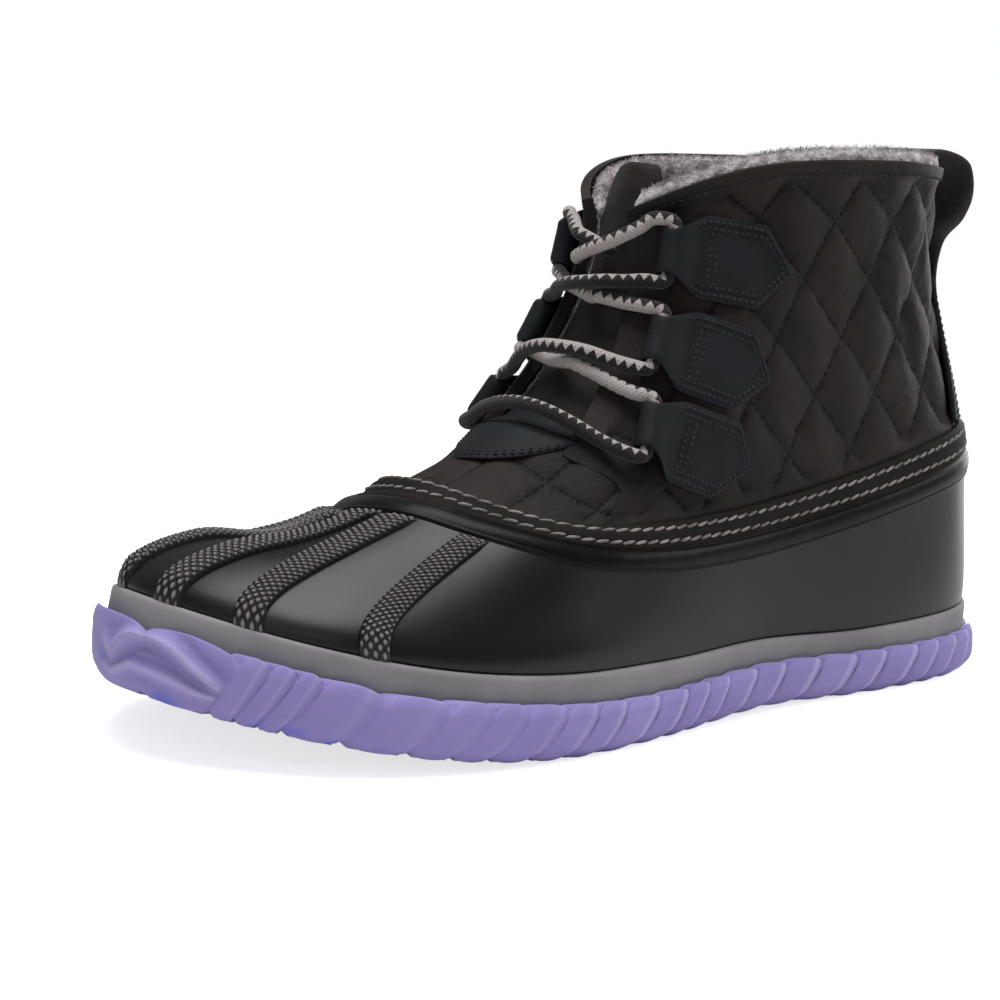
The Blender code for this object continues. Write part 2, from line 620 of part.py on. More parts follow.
def make_tab(name, side):
    """Leather tab sewn on the shaft, folded at its front into a tunnel for the lace."""
    tunnel_low = SEAM_GAP + LEATHER
    tunnel_top = tunnel_low + 2 * TUNNEL_RADIUS
    centre_along = LEATHER + TUNNEL_RADIUS
    centre_off = tunnel_low + TUNNEL_RADIUS
    tail = np.array([TAB_TIP, TAB_SHOULDER, 18.5, TAB_FLARE, 8.5, 5.8])
    rise = SEAM_GAP + (tunnel_top - SEAM_GAP) * smooth_step((TAB_FLARE - tail) / (TAB_FLARE - centre_along))
    turn = np.radians(np.linspace(90, 270, 6))
    end = np.array([7.0])
    inner_along = np.concatenate([tail, centre_along + TUNNEL_RADIUS * np.cos(turn), end])
    outer_along = np.concatenate([tail, centre_along + (TUNNEL_RADIUS + LEATHER) * np.cos(turn), end])
    inner_off = np.concatenate([rise, centre_off + TUNNEL_RADIUS * np.sin(turn), [tunnel_low]])
    outer_off = np.concatenate([rise + LEATHER, centre_off + (TUNNEL_RADIUS + LEATHER) * np.sin(turn), [SEAM_GAP]])
    shares = np.linspace(-1, 1, 5)
    halves = np.where(np.arange(len(inner_along)) < len(tail), tab_half(inner_along), TAB_FOLD_HALF)
    across = halves[:, None] * shares
    outer = tab_points(name, side, outer_along[:, None], across, outer_off[:, None])[0]
    inner = tab_points(name, side, inner_along[:, None], across, inner_off[:, None])[0]
    side_name = "outer" if side > 0 else "inner"
    return wall(f"lace_tab_{name}_{side_name}", outer, inner, "leather_black")


def lace_places(name, side, first):
    """The lace's places at one tab, from the mouth it goes in at: u, v and stand-off."""
    centre_along = LEATHER + TUNNEL_RADIUS
    centre_off = SEAM_GAP + LEATHER + TUNNEL_RADIUS
    mouth = TAB_FOLD_HALF + LACE_RADIUS + 0.5
    along = np.array([-2.5, centre_along - 1.2, centre_along, centre_along, centre_along, centre_along - 1.2, -2.5])
    across = np.array([mouth, mouth - 0.3, TAB_FOLD_HALF - 1.5, 0, 1.5 - TAB_FOLD_HALF, 0.3 - mouth, -mouth]) * first
    _, u, v = tab_points(name, side, along, across, centre_off)
    return np.column_stack([u, v, np.full(7, centre_off)])


def lace_run(here, there, middle, bow):
    """Places along one crossing, drawn towards a stand-off and bowed up the foot in its middle."""
    shares = np.linspace(0, 1, 9)[1:-1]
    run = here + (there - here) * shares[:, None]
    run[:, 1] += bow / LEG_LENGTH * np.sin(np.pi * shares)
    if middle > LACE_RIDE:
        weight = smooth_step(4.5 * shares) * smooth_step(4.5 * (1 - shares))
    else:
        beside = (TOE_U - run[:, 0]) * np.linalg.norm(skin_slopes(TOE_U, run[:, 1])[0], axis=1)
        weight = smooth_step((THROAT_HALF_TOP - 1.5 - np.abs(beside)) / 7)
    run[:, 2] = LACE_RIDE + (middle - LACE_RIDE) * weight
    return run


def make_lace():
    """Round lace through the six tunnels, with both ends tucked in at the top tabs."""
    tabs = [lace_places(*stop) for stop in LACE_WAY]
    ends = []
    for beside, height, stand_off, middle in LACE_ENDS:
        v = np.linspace(1.5, 2, 80)
        u = beside_front(v, np.full(80, beside))
        z = skin(u, v)[:, 2]
        ends.append(np.array([np.interp(height, z, u), np.interp(height, z, v), stand_off]))
    places = [ends[0][None], lace_run(ends[0], tabs[0][0], LACE_ENDS[0][3], 0.0)]
    for i, tab in enumerate(tabs):
        places.append(tab)
        if i + 1 < len(tabs):
            places.append(lace_run(tab[-1], tabs[i + 1][0], *LACE_CROSSINGS[i]))
    places += [lace_run(tabs[-1][-1], ends[1], LACE_ENDS[1][3], 0.0), ends[1][None]]
    places = np.concatenate(places)
    points = off_skin(places[:, 0], places[:, 1], places[:, 2])
    curve = bpy.data.curves.new("lace", "CURVE")
    curve.dimensions = "3D"
    curve.bevel_depth = LACE_RADIUS * MM
    curve.bevel_resolution = 1
    curve.use_fill_caps = True
    line = catmull_rom(points, LACE_POINTS)
    spline = curve.splines.new("POLY")
    spline.points.add(len(line) - 1)
    spline.points.foreach_set("co", np.column_stack([to_frame(line), np.ones(len(line))]).ravel())
    lace = bpy.data.objects.new("lace", curve)
    curve.materials.append(MATERIALS["lace_grey"])
    PARTS.objects.link(lace)
    return lace


def heel_place(height):
    """v on the heel's centre line at a height."""
    v = np.linspace(1, 2.1, 200)
    return np.interp(height, skin(np.zeros_like(v), v)[:, 2], v)


def make_backstay():
    """Plain leather panel over the heel, wide at the rim and narrow under the pull loop."""
    low = level([0.0], [2 * SEAM_GAP])[0]
    heights = np.linspace(low, heel_place(BACKSTAY_TOP), BACKSTAY_ROWS)
    halves = np.interp(np.linspace(0, 1, BACKSTAY_ROWS), (0, 0.5, 1), BACKSTAY_HALVES)
    shares = np.linspace(-1, 1, BACKSTAY_COLUMNS)
    rest = np.full(BACKSTAY_COLUMNS, 2 * SEAM_GAP)
    outer, inner = [], []
    for height, half in zip(heights, halves):
        u = np.array([beside_heel(height, distance) for distance in half * shares])
        v = np.maximum(height, level(u, rest))
        outer.append(off_skin(u, v, rest + LEATHER))
        inner.append(off_skin(u, v, rest))
    return wall("backstay", np.array(outer), np.array(inner), "leather_black")


def catmull_rom(points, count):
    """Points along a smooth curve through the given points."""
    points = np.asarray(points, float)
    padded = np.concatenate([[2 * points[0] - points[1]], points, [2 * points[-1] - points[-2]]])
    t = np.linspace(0, len(points) - 1, count)
    i = np.minimum(t.astype(int), len(points) - 2)
    f = (t - i)[:, None]
    a, b, c, d = (padded[i + k] for k in range(4))
    return 0.5 * (2 * b + (c - a) * f + (2 * a - 5 * b + 4 * c - d) * f ** 2 + (3 * b - a - 3 * c + d) * f ** 3)


def make_pull_loop():
    """Strap sewn to the backstay, looped out over the heel and back over the collar's edge."""
    mid = STRAP_THICKNESS / 2
    stand = 3 * SEAM_GAP + LEATHER + mid
    tuck = -SHAFT_WALL - 3 * SEAM_GAP - mid - 0.4
    collar = skin(np.zeros(1), np.full(1, 2.0))[0]
    below = [off_skin(np.zeros(1), heel_place(z), np.full(1, stand + ease))[0] for z, ease in ((105, 0), (112, 0.6))]
    inside = [off_skin(np.zeros(1), heel_place(z), np.full(1, tuck))[0] for z in (142, 134)]
    free = [collar + np.array([dx, 0, dz]) for dx, dz in LOOP_PATH]
    path = catmull_rom(below + free + inside, LOOP_ROWS)
    hug = np.interp(np.linspace(0, 1, LOOP_ROWS), *np.transpose(STRAP_HUG))
    along = np.gradient(path, axis=0)
    along /= np.linalg.norm(along, axis=1, keepdims=True)
    normal = np.cross(along, [0, 1, 0])
    widths = np.linspace(-STRAP_WIDTH / 2, STRAP_WIDTH / 2, 5)
    wrap = STRAP_WRAP * (widths / widths[-1]) ** 2
    grid = np.repeat(path[:, None, :], len(widths), 1)
    grid[..., 0] += hug[:, None] * wrap
    grid[..., 1] += widths
    return wall("pull_loop", grid + normal[:, None] * mid, grid - normal[:, None] * mid, "webbing_black")



def main():
    for old in list(bpy.data.objects):
        bpy.data.objects.remove(old)
    for collection in (PARTS, HELPERS):
        bpy.context.scene.collection.children.link(collection)
    MATERIALS.update({name: new_material(name) for name in COLOURS})
    make_outsole()
    make_midsole()
    make_insole()
    make_shell()
    make_shaft()
    make_tongue()
    for name in TABS:
        for side in (1, -1):
            make_tab(name, side)
    make_lace()
    make_backstay()
    make_pull_loop()


main()
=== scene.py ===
import bpy
import numpy as np
from mathutils import Matrix


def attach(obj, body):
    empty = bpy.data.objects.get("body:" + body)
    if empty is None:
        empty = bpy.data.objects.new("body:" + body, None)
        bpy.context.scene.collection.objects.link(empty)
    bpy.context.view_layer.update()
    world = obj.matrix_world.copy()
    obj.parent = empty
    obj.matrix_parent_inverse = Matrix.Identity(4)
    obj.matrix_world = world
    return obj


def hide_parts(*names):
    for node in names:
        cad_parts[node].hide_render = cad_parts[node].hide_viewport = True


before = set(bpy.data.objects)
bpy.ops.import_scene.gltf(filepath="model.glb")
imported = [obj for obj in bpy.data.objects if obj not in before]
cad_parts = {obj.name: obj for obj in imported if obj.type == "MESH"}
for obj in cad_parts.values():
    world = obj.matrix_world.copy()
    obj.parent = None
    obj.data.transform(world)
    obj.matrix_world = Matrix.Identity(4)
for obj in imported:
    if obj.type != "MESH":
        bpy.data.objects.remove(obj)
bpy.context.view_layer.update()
print("frame loaded:", len(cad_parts), "nodes")

# The last. One row for each station round the foot, from the heel by the outer side to the toe and back:
# feather x y, rim x y z, collar x y z, how steeply the shaft leaves the rim, how far it draws in
lastShape = {
    "stations": {
        "heel": (-128, 0, -126.5, 0, 69, -112, 0, 144, 0.3, 6),
        "heelCornerOut": (-117, 20.5, -116, 20, 67, -107, 14.5, 144, 0.3, 5),
        "heelSideOut": (-91, 29.5, -91, 29.5, 62.5, -92, 26, 144, 0.27, 3.5),
        "waistOut": (-28, 32.5, -34, 33, 52.5, -56, 34, 143.5, 0.28, 2),
        "ballOut": (45, 45.5, 22, 38, 49.5, -21, 29, 140.5, 0.2, 1),
        "toeCornerOut": (108, 31, 53, 26, 53, -1, 15.5, 132, 0.1, 2.5),
        "toe": (133, -10, 65, -1, 58.5, 6, 0, 127, 0.06, 4),
        "toeCornerIn": (113, -39.5, 54, -26, 53, -1, -15.5, 132, 0.1, 6),
        "ballIn": (55, -45, 26, -36, 50, -21, -29, 140.5, 0.2, 3),
        "waistIn": (-25, -27.5, -30, -30, 52, -56, -33.5, 143.5, 0.28, 2),
        "heelSideIn": (-91, -28.5, -91, -28.5, 62.5, -92, -26, 144, 0.27, 3.5),
        "heelCornerIn": (-117, -20, -116, -20, 67, -107, -14.5, 144, 0.3, 5),
    },
    "frameCentre": (2.7, -0.965, 0.0),
    "seamGap": 0.3,
    "toeSpring": 15.5, "springStart": 35.0, "springRun": 105.0,
    "archLift": 1.0, "archCentre": -28.0, "archHalf": 40.0,
    "midsoleTop": 20.0, "midsoleLift": 1.22,
    "wallBulge": 1.2, "wallRise": 0.18, "shoulderReach": 0.66, "shoulderDrop": 0.65,
    "shaftPull": 0.47, "shaftTopRise": 0.41,
    "throatFoot": 27.0, "throatHalfFoot": 23.0, "throatHalfTops": {1: 9.5, -1: 12.5}, "throatNarrowed": 1.9,
    "collarDip": 0.02,
    # how far the toe is drawn in at its foot and the heel swells there, and the half lengths of both
    "toeTuck": 2.0, "tuckHalf": 60.0, "heelSwell": 1.7, "swellHalf": 70.0,
    # dip and dome on the toe's top: way from the toe, half width, v, half reach and size
    "toeDip": (-14.0, 50.0, 0.8, 0.3, 6.6), "toeDome": (-4.0, 50.0, 0.38, 0.34, 1.3),
    # how far the band's top is let down, and the middle and half length of that along x
    "bandDrop": (2.8, -50.0, 120.0),
}
mm = 0.001


def smoothStep(x):
    # eases from 0 to 1: three squares less two cubes
    x = np.clip(x, 0, 1)
    return x * x * (3 - 2 * x)


def hump(x, centre, half):
    # 1 at the centre, easing to 0 at half on both sides
    return smoothStep(1 - np.abs(x - centre) / half)


def ripple(points, size, seed):
    # soft noise of about -1 to 1: fourteen plane waves with lengths near size, in seeded directions
    dice = np.random.default_rng(seed)
    directions = dice.normal(size=(14, points.shape[-1]))
    directions /= np.linalg.norm(directions, axis=1, keepdims=True)
    waves = 2 * np.pi / (size * dice.uniform(0.6, 1.7, 14))
    turns = dice.uniform(0, 2 * np.pi, 14)
    return np.sin((points @ directions.T) * waves + turns).sum(-1) / 5


def unit(vectors):
    return vectors / np.maximum(np.linalg.norm(vectors, axis=-1, keepdims=True), 1e-9)


def lift(x):
    # toe spring grows with the square of the way past the ball; the arch is a low hump
    past = (x - lastShape["springStart"]) / lastShape["springRun"]
    spring = lastShape["toeSpring"] * np.clip(past, 0, 1.2) ** 2
    return spring + lastShape["archLift"] * hump(x, lastShape["archCentre"], lastShape["archHalf"])


def midsoleTop(x):
    return lastShape["midsoleTop"] + lastShape["midsoleLift"] * lift(x)


def bandTop(x):
    # the band's seen top edge: the slab's top, let down along the rear half
    drop, middle, half = lastShape["bandDrop"]
    return midsoleTop(x) - drop * hump(x, middle, half)


def readStations():
    # closed cubic spline through the station rows, spaced by chord along the feather edge
    rows = np.array(list(lastShape["stations"].values()), float)
    chords = np.linalg.norm(np.roll(rows[:, :2], -1, 0) - rows[:, :2], axis=1)
    knots = np.concatenate([[0], np.cumsum(chords)[:-1]]) / chords.sum()
    steps = chords / chords.sum()
    matrix = np.diag(2 * (steps + np.roll(steps, 1)))
    index = np.arange(len(rows))
    matrix[index, index - 1] += np.roll(steps, 1)
    matrix[index, (index + 1) % len(rows)] += steps
    slopes = (np.roll(rows, -1, 0) - rows) / steps[:, None]
    bends = np.linalg.solve(matrix, 6 * (slopes - np.roll(slopes, 1, 0)))
    toe = knots[list(lastShape["stations"]).index("toe")]
    return rows, knots, steps, bends, toe, chords.sum()


stationRows, stationKnots, stationSteps, stationBends, toeU, girth = readStations()


def stationAt(u):
    # the spline's row at u: straight between two stations, with a cubic share of the bends at both
    u = np.asarray(u, float) % 1.0
    i = np.searchsorted(stationKnots, u, side="right") - 1
    j = (i + 1) % len(stationKnots)
    step = stationSteps[i][..., None]
    b = (u - stationKnots[i])[..., None] / step
    a = 1 - b
    bend = (a ** 3 - a) * stationBends[i] + (b ** 3 - b) * stationBends[j]
    return a * stationRows[i] + b * stationRows[j] + bend * step ** 2 / 6


def soleEdge(u, standOff):
    # plan of the feather edge moved outwards, and the outward direction
    u = np.asarray(u, float)
    along = unit(stationAt(u + 1e-4)[..., :2] - stationAt(u - 1e-4)[..., :2])
    outwards = np.stack([-along[..., 1], along[..., 0]], -1)
    return stationAt(u)[..., :2] + outwards * np.asarray(standOff, float)[..., None], outwards


def cubic(a, b, c, d, t):
    # curve from a to d, leaving towards b and arriving from c
    t = t[..., None]
    s = 1 - t
    return s ** 3 * a + 3 * s * s * t * b + 3 * s * t * t * c + t ** 3 * d


def skin(u, v):
    # u runs once round from the heel; v is 0 at the sole, 1 at the shell's rim, 2 at the collar.
    # Two cubics up the foot: feather to rim with a bulge and a shoulder, rim to collar with a hollow ankle
    u, v = np.broadcast_arrays(np.asarray(u, float), np.asarray(v, float))
    rows = stationAt(u)
    plan, outwards = soleEdge(u, np.zeros_like(u))
    feather = np.concatenate([plan, bandTop(plan[..., :1]) + lastShape["seamGap"]], -1)
    rim, collar = rows[..., 2:5], rows[..., 5:8]
    out = np.concatenate([outwards, np.zeros_like(plan[..., :1])], -1)
    flat, up = np.array([1.0, 1.0, 0.0]), np.array([0.0, 0.0, 1.0])
    wall, leg = (rim - feather)[..., 2:], (collar - rim)[..., 2:]
    bulge = feather + out * lastShape["wallBulge"] + up * wall * lastShape["wallRise"]
    shoulder = rim + (feather - rim) * flat * lastShape["shoulderReach"]
    shoulder = shoulder - up * wall * lastShape["shoulderDrop"]
    shell = cubic(feather, bulge, shoulder, rim, v)
    fromToe = (toeU - u) * girth
    tuck = lastShape["toeTuck"] * hump(fromToe, 0, lastShape["tuckHalf"]) * np.clip(1 - v, 0, 1) ** 1.5
    dip, dome = (size * hump(fromToe, way, wide) * hump(v, middle, reach)
                 for way, wide, middle, reach, size in (lastShape["toeDip"], lastShape["toeDome"]))
    fromHeel = ((u + 0.5) % 1.0 - 0.5) * girth
    swell = lastShape["heelSwell"] * hump(fromHeel, 0, lastShape["swellHalf"]) * np.clip(1 - v, 0, 1)
    shell = shell + out * (swell - tuck)[..., None] + up * (dome - dip)[..., None]
    leave = rim + (collar - rim) * flat * lastShape["shaftPull"] + up * leg * rows[..., 8:9]
    arrive = collar - out * rows[..., 9:10] - up * leg * lastShape["shaftTopRise"]
    shaft = cubic(rim, leave, arrive, collar, v - 1)
    return np.where(v[..., None] <= 1, shell, shaft)


def skinSlopes(u, v):
    # differences of the skin over a small step, round and up; the step up stays on one side of the rim line
    u, v = np.broadcast_arrays(np.asarray(u, float), np.asarray(v, float))
    step = 1e-3
    low = np.where(v > 1, np.maximum(v - step, 1 + 1e-6), v - step)
    high = np.where(v > 1, v + step, np.minimum(v + step, 1))
    roundFoot = (skin(u + step, v) - skin(u - step, v)) / (2 * step)
    upFoot = (skin(u, high) - skin(u, low)) / (high - low)[..., None]
    return roundFoot, upFoot


def skinNormal(u, v):
    # square to both slopes, outwards
    roundFoot, upFoot = skinSlopes(u, v)
    return unit(np.cross(upFoot, roundFoot))


def offSkin(u, v, standOff):
    # the skin moved along its normal
    return skin(u, v) + skinNormal(u, v) * np.asarray(standOff, float)[..., None]


def arcLength(points, axis=0):
    # running sum of the steps along one axis of a path or grid, from 0
    steps = np.linalg.norm(np.diff(points, axis=axis), axis=-1)
    return np.concatenate([np.zeros_like(steps.take([0], axis)), np.cumsum(steps, axis)], axis)


def readLengths():
    # lengths up the skin from the rim, and round it from the front, turned into tables of v and u by length
    us = np.linspace(0, 1, 481)
    vs = np.linspace(-0.05, 2.2, 301)
    grid = skin(us[:, None], vs[None])
    up = arcLength(grid, 1)
    up -= np.array([np.interp(1, vs, line) for line in up])[:, None]
    heights = np.linspace(-95, 125, 441)
    vTable = np.array([np.interp(heights, line, vs) for line in up])
    fronts = toeU + np.linspace(0.5, -0.5, 481)
    grid = skin(fronts[:, None], vs[None])
    around = arcLength(grid, 0)
    around -= around[240]
    besides = np.linspace(-320, 320, 641)
    uTable = np.array([np.interp(besides, line, fronts) for line in around.T])
    return us, vs, up, heights, vTable, besides, uTable, fronts, around


usTable, vsTable, upTable, heightTable, vTable, besideTable, uTable, frontTable, aroundTable = readLengths()


def lookUp(table, rowPlaces, columnPlaces, row, column):
    # straight-line reading between the four nearest entries of an even table
    r, c = (np.clip((value - places[0]) / (places[1] - places[0]), 0, len(places) - 1.000001)
            for value, places in ((row, rowPlaces), (column, columnPlaces)))
    i, j = r.astype(int), c.astype(int)
    f, g = r - i, c - j
    low = table[i, j] * (1 - g) + table[i, j + 1] * g
    high = table[i + 1, j] * (1 - g) + table[i + 1, j + 1] * g
    return low * (1 - f) + high * f


def vAtHeight(u, height):
    # v at a distance above the rim, up the skin
    u, height = np.broadcast_arrays(np.asarray(u, float) % 1.0, np.asarray(height, float))
    return lookUp(vTable, usTable, heightTable, u, height)


def heightAt(u, v):
    # distance above the rim, up the skin
    u, v = np.broadcast_arrays(np.asarray(u, float) % 1.0, np.asarray(v, float))
    return lookUp(upTable, usTable, vsTable, u, v)


def uBeside(v, distance):
    # u at a distance round from the front centre line, outer side positive
    v, distance = np.broadcast_arrays(np.asarray(v, float), np.asarray(distance, float))
    return lookUp(uTable, vsTable, besideTable, v, distance)


def besideAt(u, v):
    # distance round from the front centre line, outer side positive
    u, v = np.broadcast_arrays(np.asarray(u, float), np.asarray(v, float))
    u = (u - toeU + 0.5) % 1.0 - 0.5 + toeU
    return lookUp(aroundTable, frontTable, vsTable, u, v)


def walk(u, v, heading, distance, steps=12):
    # small steps on the skin along the heading's shadow on it
    step = np.asarray(distance, float) / steps
    for _ in range(steps):
        roundFoot, upFoot = skinSlopes(u, v)
        normal = unit(np.cross(roundFoot, upFoot))
        along = unit(heading - normal * (normal @ heading)[..., None])
        rr, ru, uu = (roundFoot ** 2).sum(-1), (roundFoot * upFoot).sum(-1), (upFoot ** 2).sum(-1)
        ar, au = (along * roundFoot).sum(-1), (along * upFoot).sum(-1)
        area = rr * uu - ru * ru
        u = u + step * (ar * uu - au * ru) / area
        v = v + step * (au * rr - ar * ru) / area
    return u, v


def curveThrough(points, count):
    # cubic through the points, its slope at each from the two beside it, read at even steps of its knots
    points = np.asarray(points, float)
    padded = np.concatenate([[2 * points[0] - points[1]], points, [2 * points[-1] - points[-2]]])
    t = np.linspace(0, len(points) - 1, count)
    i = np.minimum(t.astype(int), len(points) - 2)
    f = (t - i)[:, None]
    a, b, c, d = (padded[i + k] for k in range(4))
    square, cube = 2 * a - 5 * b + 4 * c - d, 3 * b - a - 3 * c + d
    return 0.5 * (2 * b + (c - a) * f + square * f ** 2 + cube * f ** 3)


def evenly(path, spacing):
    # the same path read at even spacing along its length
    length = arcLength(path)
    places = np.linspace(0, length[-1], max(2, int(round(length[-1] / spacing)) + 1))
    return np.stack([np.interp(places, length, path[:, k]) for k in range(path.shape[1])], -1)


def gridQuads(rows, columns, wrapColumns=False):
    # corner numbers of every cell of a grid
    here = np.arange(rows - 1)[:, None] * columns
    below = here + columns
    c = np.arange(columns if wrapColumns else columns - 1)[None]
    after = (c + 1) % columns
    return np.stack([here + c, here + after, below + after, below + c], -1).reshape(-1, 4)


def putPiece(name, points, quads, material, slot, replaces=(), uv=None, values=None, flip=False, smooth=True):
    # one mesh from arrays of points in millimetres and four-cornered faces, riding on the boot
    points = (np.asarray(points, float).reshape(-1, 3) - np.array(lastShape["frameCentre"])) * mm
    quads = np.asarray(quads)[:, ::-1] if flip else np.asarray(quads)
    mesh = bpy.data.meshes.new(name)
    mesh.vertices.add(len(points))
    mesh.vertices.foreach_set("co", points.astype(np.float32).ravel())
    mesh.loops.add(quads.size)
    mesh.loops.foreach_set("vertex_index", quads.astype(np.int32).ravel())
    mesh.polygons.add(len(quads))
    mesh.polygons.foreach_set("loop_start", np.arange(0, quads.size, 4, dtype=np.int32))
    mesh.update(calc_edges=True)
    if uv is not None:
        layer = mesh.uv_layers.new(name="UVMap")
        layer.data.foreach_set("uv", np.asarray(uv, np.float32).reshape(-1, 2)[quads].ravel())
    for key, value in (values or {}).items():
        attribute = mesh.attributes.new(key, "FLOAT", "POINT")
        attribute.data.foreach_set("value", np.asarray(value, np.float32).ravel())
    mesh.validate()
    if smooth:
        mesh.shade_smooth()
    mesh.materials.append(material)
    piece = bpy.data.objects.new(name, mesh)
    bpy.context.scene.collection.objects.link(piece)
    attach(piece, "root")
    if replaces:
        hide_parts(*replaces)
    return piece


def putGrid(name, grid, material, slot, **extra):
    rows, columns = grid.shape[:2]
    return putPiece(name, grid, gridQuads(rows, columns), material, slot, **extra)


def wallQuads(rows, columns):
    # two grids of the same size, one behind the other, joined along all four edges
    face = gridQuads(rows, columns)
    count = rows * columns
    index = np.arange(count).reshape(rows, columns)
    edge = np.concatenate([index[0, :-1], index[:-1, -1], index[-1, :0:-1], index[:0:-1, 0]])
    after = np.roll(edge, -1)
    sides = np.stack([after, edge, edge + count, after + count], -1)
    return np.concatenate([face, face[:, ::-1] + count, sides])


def putWall(name, outer, inner, material, slot, uv=None, values=None, **extra):
    # a closed sheet from its outer and its inner face, both with the same UV and values
    rows, columns = outer.shape[:2]
    both = {key: np.concatenate([np.ravel(value)] * 2) for key, value in (values or {}).items()}
    doubled = None if uv is None else np.concatenate([uv.reshape(-1, 2)] * 2)
    points = np.concatenate([outer.reshape(-1, 3), inner.reshape(-1, 3)])
    return putPiece(name, points, wallQuads(rows, columns), material, slot, uv=doubled, values=both, **extra)


def threadMesh(centres, alongs, outs, length, thickness, sides=6, rings=5):
    # every stitch is a small pod: a circle carried along the thread, fat in the middle, closed at its ends
    t = np.linspace(-1, 1, rings)
    fat = np.sqrt(np.maximum(0.02, 1 - np.abs(t) ** 3))
    angle = np.linspace(0, 2 * np.pi, sides, endpoint=False)
    across = np.cross(alongs, outs)
    ring = np.cos(angle)[:, None, None] * across + np.sin(angle)[:, None, None] * outs
    pods = (centres[None, None] + (t * length / 2)[:, None, None, None] * alongs
            + (fat * thickness / 2)[:, None, None, None] * ring[None])
    pods = pods.transpose(2, 0, 1, 3)
    sink = outs[:, None, None] * ((np.abs(t) ** 2) * thickness * 0.35)[None, :, None, None]
    pods = pods - sink
    quads = gridQuads(rings, sides, wrapColumns=True)
    lid = np.array([[0, 3, 2, 1], [0, 5, 4, 3]])
    quads = np.concatenate([quads, lid, (rings - 1) * sides + lid[:, ::-1]])
    count = rings * sides
    everyQuad = (quads[None] + (np.arange(len(centres)) * count)[:, None, None]).reshape(-1, 4)
    return pods.reshape(-1, 3), everyQuad


def stitchRow(path, outs, pitch, length, thickness, lean=0.0):
    # pods at even pitch along a path, each leaning a little out of its line
    along = arcLength(path)
    places = np.arange(pitch / 2, along[-1], pitch)
    centres = np.stack([np.interp(places, along, path[:, k]) for k in range(3)], -1)
    out = unit(np.stack([np.interp(places, along, outs[:, k]) for k in range(3)], -1))
    tangent = np.gradient(path, axis=0)
    heading = unit(np.stack([np.interp(places, along, tangent[:, k]) for k in range(3)], -1))
    heading = unit(heading + np.cross(out, heading) * lean)
    out = unit(out - heading * (out * heading).sum(-1, keepdims=True))
    return threadMesh(centres, heading, out, length, thickness)


def joinMeshes(meshes):
    # several meshes as one, the corner numbers of each moved past those before it
    offset, points, quads = 0, [], []
    for part, faces in meshes:
        points.append(part)
        quads.append(faces + offset)
        offset += len(part)
    return np.concatenate(points), np.concatenate(quads)


print("skin ready, girth", round(float(girth), 1))

# Materials


def srgb(r, g, b):
    # a colour as a screen shows it, turned into light
    c = np.array([r, g, b]) / 255
    return (*np.where(c <= 0.04045, c / 12.92, ((c + 0.055) / 1.055) ** 2.4).tolist(), 1.0)


def put(tree, kind, inputs=None, **settings):
    node = tree.nodes.new(kind)
    for key, value in settings.items():
        setattr(node, key, value)
    for key, value in (inputs or {}).items():
        if isinstance(value, bpy.types.NodeSocket):
            tree.links.new(value, node.inputs[key])
        else:
            node.inputs[key].default_value = value
    return node


def calc(tree, operation, a, b=0.0, c=0.0):
    return put(tree, "ShaderNodeMath", {0: a, 1: b, 2: c}, operation=operation).outputs[0]


def between(tree, value, low, high, first=0.0, last=1.0):
    # eased reading of a value between two limits
    inputs = {"Value": value, "From Min": low, "From Max": high, "To Min": first, "To Max": last}
    return put(tree, "ShaderNodeMapRange", inputs, interpolation_type="SMOOTHSTEP").outputs[0]


def blend(tree, factor, a, b):
    # colour a at factor 0, colour b at 1
    return put(tree, "ShaderNodeMix", {0: factor, 6: a, 7: b}, data_type="RGBA").outputs[2]


def attribute(tree, name):
    return put(tree, "ShaderNodeAttribute", attribute_name=name).outputs["Fac"]


def newGroup(name, inputs, outputs):
    # a node group whose sockets are all numbers
    group = bpy.data.node_groups.new(name, "ShaderNodeTree")
    for label, value in inputs:
        socket = group.interface.new_socket(label, in_out="INPUT", socket_type="NodeSocketFloat")
        socket.default_value = value
    for label in outputs:
        group.interface.new_socket(label, in_out="OUTPUT", socket_type="NodeSocketFloat")
    return group, group.nodes.new("NodeGroupInput"), group.nodes.new("NodeGroupOutput")


def makeGrain():
    # mottled noise on object coordinates: a broad cloud and a fine grain
    group, given, made = newGroup("grain", (("Fine", 2000.0), ("Broad", 60.0)), ("Height", "Cloud"))
    place = put(group, "ShaderNodeTexCoord").outputs["Object"]
    for scale, detail, result in (("Fine", 3.0, "Height"), ("Broad", 4.0, "Cloud")):
        inputs = {"Vector": place, "Scale": given.outputs[scale], "Detail": detail}
        noise = put(group, "ShaderNodeTexNoise", inputs)
        group.links.new(noise.outputs["Fac"], made.inputs[result])
    return group


def makeWeave():
    # crossing threads on the UV map: over and under in turn
    group, given, made = newGroup("weave", (("Along", 1.0), ("Across", 1.0)), ("Height",))
    parts = put(group, "ShaderNodeSeparateXYZ", {0: put(group, "ShaderNodeTexCoord").outputs["UV"]})
    x = calc(group, "MULTIPLY", parts.outputs[0], given.outputs["Along"])
    y = calc(group, "MULTIPLY", parts.outputs[1], given.outputs["Across"])
    warp = calc(group, "ABSOLUTE", calc(group, "SINE", calc(group, "MULTIPLY", x, np.pi)))
    weft = calc(group, "ABSOLUTE", calc(group, "SINE", calc(group, "MULTIPLY", y, np.pi)))
    turn = calc(group, "MODULO", calc(group, "ADD", calc(group, "FLOOR", x), calc(group, "FLOOR", y)), 2.0)
    over = calc(group, "MULTIPLY", turn, warp)
    under = calc(group, "MULTIPLY", calc(group, "SUBTRACT", 1.0, turn), weft)
    group.links.new(calc(group, "ADD", over, under), made.inputs["Height"])
    return group


grainGroup, weaveGroup = makeGrain(), makeWeave()


